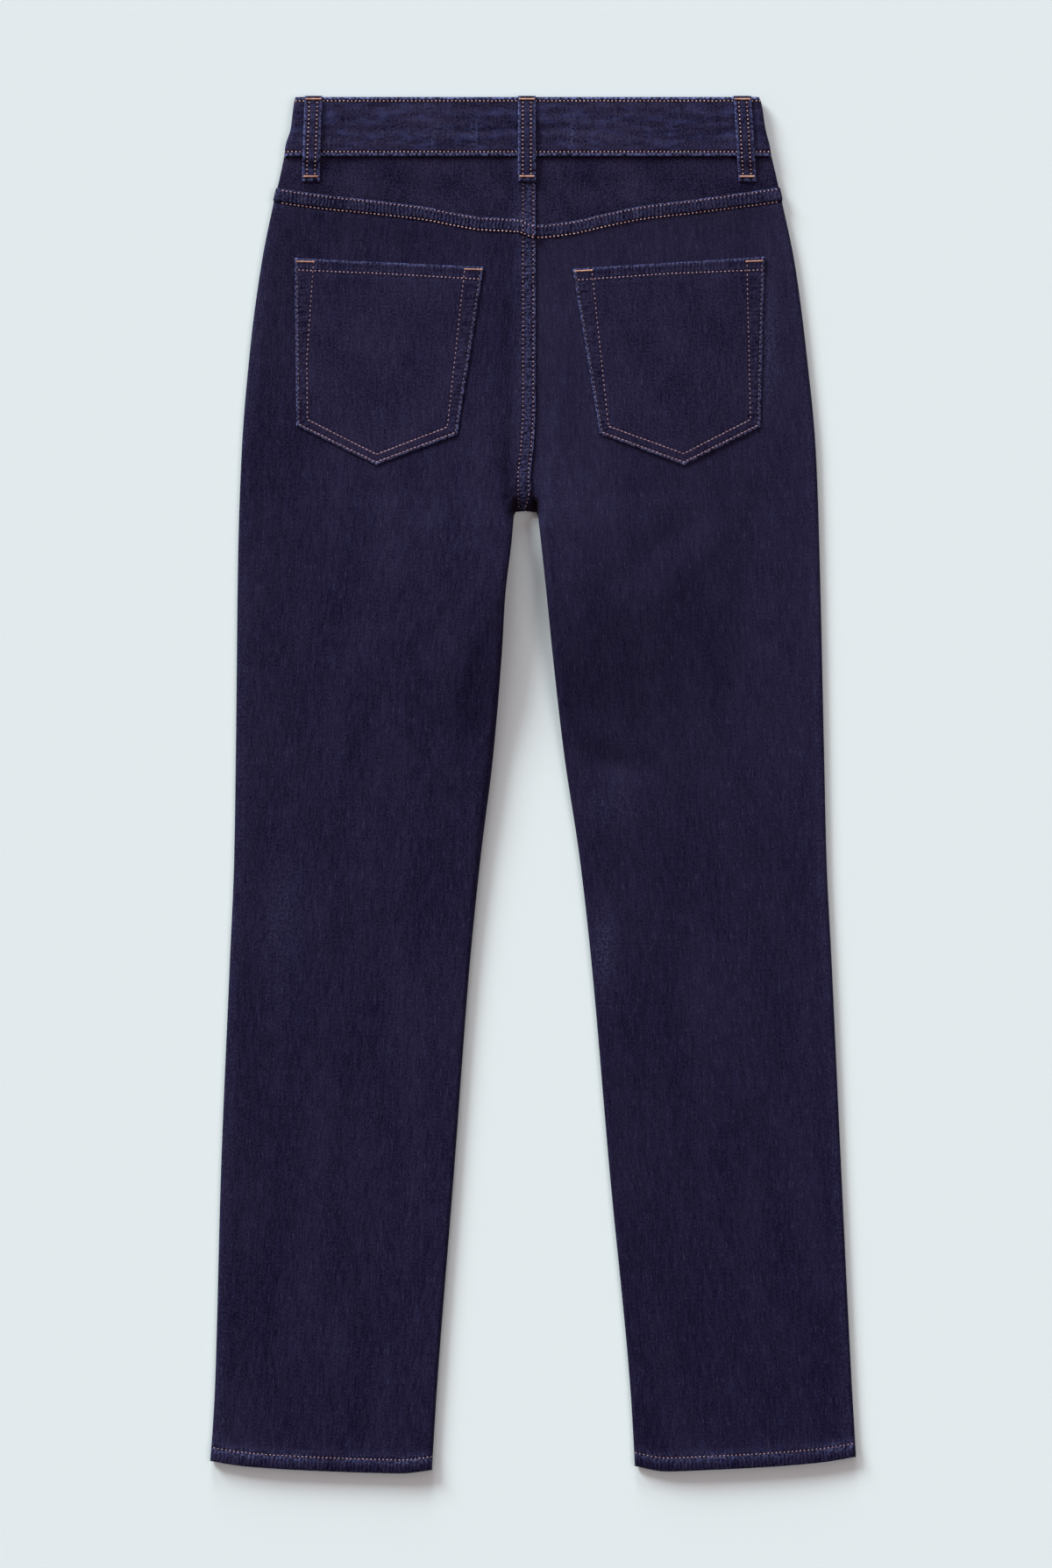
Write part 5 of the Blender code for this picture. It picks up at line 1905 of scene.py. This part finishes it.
@dataclass
class Garment:
    """The jeans: every cloth piece with its sewing."""

    cloths: dict[Zone, bpy.types.Material]
    sewing: Sewing

    def add(
        self, node: str, zone: Zone, patch: Patch, wall: float, cutting: Cutting,
        sewn: list[bpy.types.Object] | None = None,
    ) -> None:
        """Args:
            node: the solid's node.
            zone: where it lies on the garment, for its finish.
            patch: the sheet's points.
            wall: its thickness.
            cutting: its flat cut; not used.
            sewn: the sewing that lies on it; not used.
        """
        piece = lay_cloth(f"cloth_{node}", patch, wall, self.cloths[zone])
        LOG.info("%s: %d faces", piece.name, len(piece.data.polygons))
        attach(piece, "root")
        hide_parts(node)

    def back_leg(self, side: Side) -> None:
        """A back leg panel with the rows that hold it.

        Args:
            side: the wearer's side.
        """
        leg, shape, word = BackLeg(side), SHAPE, side.word
        x = np.linspace(side.value * 0.193, shape.seat_lap - 0.0006 if side is Side.LEFT else 0.0052, 260)
        upper, lower = (shape.yoke_rows[0], 0.0, Wear.STAINED), (shape.lower_yoke_row(x), 0.00022, Wear.KEPT)
        seam = []
        for name, (offset, out, wear) in zip(("upper", "lower"), (upper, lower)):
            down = shape.yoke_down(x) + offset
            z = shape.leg_top(side, x, down) - shape.thread_sink + out
            self.sewing.sew(place(x, down, z), closer=0.98)
            seam += self.sewing.finish(f"yoke_seam_{name}_{word}", wear)
        self.sewing.sew(leg.hem_row(), closer=0.95)
        seam += self.sewing.finish(f"hem_{word}")
        if side is Side.LEFT:
            down = np.linspace(float(shape.yoke_down(0.0)) + 0.0004, 0.3190, 260)
            for row in shape.seat_rows:
                hook = 0.0025 * eased((down - 0.309) / 0.009) if row > 0 else 0.0
                x = shape.seat_x(down) + row - hook
                z = shape.leg_top(side, x, down) - shape.thread_sink
                self.sewing.sew(place(x, down, z), longer=1.1, closer=0.78)
        sewn = seam + self.sewing.finish(f"back_leg_{word}")
        cutting = Cutting(0.245, 0.998, 0.1975, (f"cloth_front_leg_{word}",))
        self.add(f"back_leg_{word}", Zone[side.name], leg.patch(), WALL, cutting, sewn)

    def yoke(self, side: Side) -> None:
        """A back yoke, whose seat seam the left one carries.

        Args:
            side: the wearer's side.
        """
        shape = SHAPE
        if side is Side.LEFT:
            down = np.linspace(BAND_HEIGHT + 0.001, float(shape.yoke_down(0.0)) - 0.0006, 60)
            for row in shape.seat_rows:
                x = np.full(down.shape, row)
                self.sewing.sew(place(x, down, shape.yoke_top(side, x, down) - shape.thread_sink), closer=0.72)
        sewn = self.sewing.finish(f"yoke_{side.word}")
        cutting = Cutting(0.205, 0.061, 0.0094, ("cloth_waistband",))
        self.add(f"yoke_{side.word}", Zone.YOKE, Yoke(side).patch(), WALL, cutting, sewn)

    def pocket(self, pocket: Pocket) -> None:
        """A patch pocket with its rows and bar tacks.

        Args:
            pocket: its places.
        """
        patch_pocket = PatchPocket(pocket)
        rows = [np.array(row) for row in (patch_pocket.inset_row(), pocket.inner_row)]
        sewn = []
        for row, part, wear in zip(rows, ("edges", "sides"), (Wear.SUNK, Wear.DULLED)):
            for upright in (row[:-3], row[-2:]):
                self.sewing.sew(traced(upright, patch_pocket.top) - (0.0, 0.0, 0.00008), longer=1.18, closer=1.22)
            sewn += self.sewing.finish(f"{pocket.name}_{part}", wear)
        self.sewing.sew(traced(pocket.mouth_row, patch_pocket.top), closer=1.15)
        for x_start, down_start, x_end, down_end in pocket.tacks:
            ends = traced(np.array([(x_start, down_start), (x_end, down_end)]), patch_pocket.top)
            self.sewing.tack(ends[0], ends[-1])
        sewn += self.sewing.finish(pocket.name)
        for row in rows:
            self.sewing.sew(traced(row[-4:-1], patch_pocket.top), closer=1.90)
        sewn += self.sewing.finish(f"{pocket.name}_foot", Wear.DULLED)
        cutting = Cutting(0.149, 0.162, 0.0200, (f"cloth_back_leg_{Side.at(pocket.point[0]).word}",))
        self.add(pocket.name, Zone.POCKET, patch_pocket.patch(), WALL, cutting, sewn)

    def waistband(self) -> None:
        """The waistband with its two rows."""
        band = Waistband()
        for down in (band.upper_row, band.lower_row):
            self.sewing.sew(*band.row(down), closer=0.75)
        sewn = self.sewing.finish("waistband", Wear.KEPT)
        self.add("waistband", Zone.BAND, band.patch(), band.wall, Cutting(0.823, BAND_HEIGHT), sewn)

    def back_loop(self, loop: Loop) -> None:
        """A belt loop on the back with its rows and two bar tacks.

        Args:
            loop: its places.
        """
        belt_loop = BeltLoop(loop)
        down = np.linspace(0.0030, 0.0612, 80)
        for sign in (-1, 1):
            from_middle = np.full(down.shape, sign * belt_loop.row_x)
            x = belt_loop.middle(down) + from_middle
            self.sewing.sew(place(x, down, belt_loop.top(from_middle, down)), closer=0.72)
        for level, half in belt_loop.tacks:
            ends = []
            for from_middle in (-half, half):
                here = np.array([level])
                height = belt_loop.top(np.array([0.0]), here)
                ends.append(place(belt_loop.middle(here) + from_middle, here, height)[0])
            self.sewing.tack(*ends)
        sewn = self.sewing.finish(loop.name, Wear.KEPT)
        cutting = Cutting(0.0133, 0.075, None, ("cloth_waistband",))
        self.add(loop.name, Zone.BAND, belt_loop.patch(), belt_loop.wall, cutting, sewn)

    def front(self, side: Side) -> None:
        """A front panel with its facing, and its belt loop.

        Args:
            side: the wearer's side.
        """
        leg, word, zone = FrontLeg(side), side.word, Zone[side.name]
        for row in leg.rows():
            self.sewing.sew(row, DOWN)
        sewn = self.sewing.finish(f"front_leg_{word}")
        self.add(f"front_leg_{word}", zone, leg.patch(), WALL, Cutting(0.245, 1.020, 0.1985, ("floor",)), sewn)
        self.add(f"front_facing_{word}", zone, FrontFacing(side).patch(), WALL, Cutting(0.106, 0.079, 0.0053))
        loop = FrontLoop(side)
        for sign in (-1, 1):
            down = np.linspace(0.0035, 0.0615, 80)
            self.sewing.sew(place(side.value * loop.at + sign * loop.row_x, down, loop.clear), DOWN)
        for level in loop.tacks:
            ends = place(side.value * loop.at + np.array([-loop.tack_half, loop.tack_half]), level, loop.clear + 0.0001)
            self.sewing.tack(ends[0], ends[1], DOWN)
        sewn = self.sewing.finish(f"loop_front_{word}")
        cutting = Cutting(0.0133, 0.065, None, ("floor",))
        self.add(f"loop_front_{word}", Zone.BAND, loop.patch(), loop.wall, cutting, sewn)


@dataclass
class Studio:
    """The paper the jeans lie on, the light over them and the camera."""

    width: float = 0.816
    length: float = 1.2165
    distance: float = 6.0
    across: float = -0.0055
    lamps: tuple[Lamp, ...] = (
        Lamp("key", (1.50, -1.90, -1.00), 0.450, 22.0, (0.890, 1.0, 1.0)),
        Lamp("waist_fill", (0.30, -3.40, -1.00), 0.150, 20.0, (0.890, 1.0, 1.0)),
        Lamp("side_fill", (-0.55, 0.05, -1.00), 0.180, 30.0, (1.0, 0.920, 0.915)),
    )
    fill: float = 0.465
    fill_lobe: tuple[float, float, float] = (-0.42, 0.52, 0.74)
    fill_colour: tuple[float, float, float] = (1.0, 0.822, 0.815)

    def paper(self, material: bpy.types.Material) -> None:
        """Lays the paper.

        Args:
            material: its finish.
        """
        deselect()
        bpy.ops.mesh.primitive_plane_add(size=14.0, location=(0.0, 0.0, -0.0002))
        floor = bpy.context.object
        floor.name = "floor"
        bpy.ops.object.transform_apply(location=True, rotation=False, scale=False)
        floor.data.materials.append(material)

    def light(self) -> None:
        """Makes the lamps and a fill from overhead: two lamps shine in past the waist, a warmer one from the right."""
        for name, way, share, angle, colour in self.lamps:
            deselect()
            direction = Vector(way).normalized()
            bpy.ops.object.light_add(type="SUN", location=-2 * direction)
            lamp = bpy.context.object
            lamp.name = name
            lamp.rotation_euler = direction.to_track_quat("-Z", "Y").to_euler()
            lamp.data.energy = share * math.pi / -direction.z
            lamp.data.color = colour
            lamp.data.angle = math.radians(angle)
        world = bpy.data.worlds.new("studio")
        world.use_nodes = True
        tree = world.node_tree
        sky = add_node(tree, "TexCoord", output="Generated")
        lobe = Vector(self.fill_lobe).normalized()
        facing = add_node(tree, "VectorMath", sky, tuple(lobe), output="Value", operation="DOT_PRODUCT")
        strength = reckon(tree, "MULTIPLY_ADD", facing, self.fill, 0.12 * self.fill)
        strength = reckon(tree, "MAXIMUM", strength, 0.02)
        background = tree.nodes["Background"]
        tree.links.new(strength, background.inputs["Strength"])
        background.inputs["Color"].default_value = (*self.fill_colour, 1.0)
        bpy.context.scene.world = world

    def camera(self) -> None:
        """A long lens straight above."""
        deselect()
        bpy.ops.object.camera_add(location=(self.across, 0.0, self.distance), rotation=(0.0, 0.0, 0.0))
        camera = bpy.context.object
        camera.data.sensor_width = 36.0
        camera.data.lens = camera.data.sensor_width * (self.distance - 0.006) / self.length
        camera.data.clip_end = 50.0
        bpy.context.scene.camera = camera


def main() -> None:
    """Builds the jeans and the studio."""
    logging.basicConfig(level=logging.INFO, format="%(message)s")
    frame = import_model()
    bpy.context.scene.view_settings.view_transform = "Standard"
    studio = Studio()
    studio.paper(PaperSweep().make())
    studio.light()
    studio.camera()
    LOG.info("studio ready")
    cloths = {
        # the right leg's fainter grain (lower contrast) is painted shade, as though less light falls on it than on the
        # left leg
        Zone.LEFT: RingSpunDenim("indigo_denim_left", fade=-0.05, falloff=0.05, contrast=0.72, wash=0.10).make(),
        Zone.RIGHT: RingSpunDenim("indigo_denim_right", fade=0.05, falloff=0.18, contrast=0.60, wash=0.10).make(),
        Zone.YOKE: RingSpunDenim(
            "indigo_denim_yoke", contrast=0.90, wash=0.10, wash_size=(5 * MM, 9 * MM),
            shares=(0.60, 1.65, 0.20, 0.70), grain=(1.4 * MM, 1.4 * MM), cloud=(6 * MM, 10 * MM),
            broad=(30 * MM, 20 * MM),
        ).make(),
        Zone.POCKET: RingSpunDenim(
            "indigo_denim_pocket", contrast=0.75, wash=0.10, shares=(0.70, 1.38, 0.20, 0.45),
            grain=(1.5 * MM, 1.6 * MM), broad=(30 * MM, 45 * MM),
        ).make(),
        Zone.BAND: RingSpunDenim(
            "indigo_denim_band", fade=0.02, wash=0.60, wash_size=(15 * MM, 6 * MM), cloud=(30 * MM, 3.5 * MM),
            broad=(80 * MM, 9 * MM), shares=(0.85, 1.50, 0.55, 0.70),
        ).make(),
    }
    # one thread in tones that are partly indigo staining and partly painted light and shade: brightest on raised rows
    # that catch the light, darkest on rows deep in the cloth
    threads = {
        Wear.KEPT: CorespunThread("tan_thread", pale="#F2CED0", dark="#B48688").make(),
        Wear.STAINED: CorespunThread("tan_thread_stained", pale="#B898A8", dark="#7C5C6C").make(),
        Wear.DULLED: CorespunThread("tan_thread_dulled", pale="#9A7E8E", dark="#6A4E5C").make(),
        Wear.SUNK: CorespunThread("tan_thread_sunk", pale="#75667C", dark="#35283A").make(),
        Wear.SATIN: CorespunThread("tan_thread_satin", pale="#CE9C86", dark="#94604E").make(),
    }
    garment = Garment(cloths, Sewing(threads))
    for side in Side:
        garment.front(side)
        garment.yoke(side)
        garment.back_leg(side)
    for pocket in POCKETS:
        garment.pocket(pocket)
    garment.waistband()
    for loop in BACK_LOOPS:
        garment.back_loop(loop)
    button = frame["nodes"]["button"]
    button.data.materials.clear()
    button.data.materials.append(AgedBrass().make())


if __name__ == "__main__":
    main()
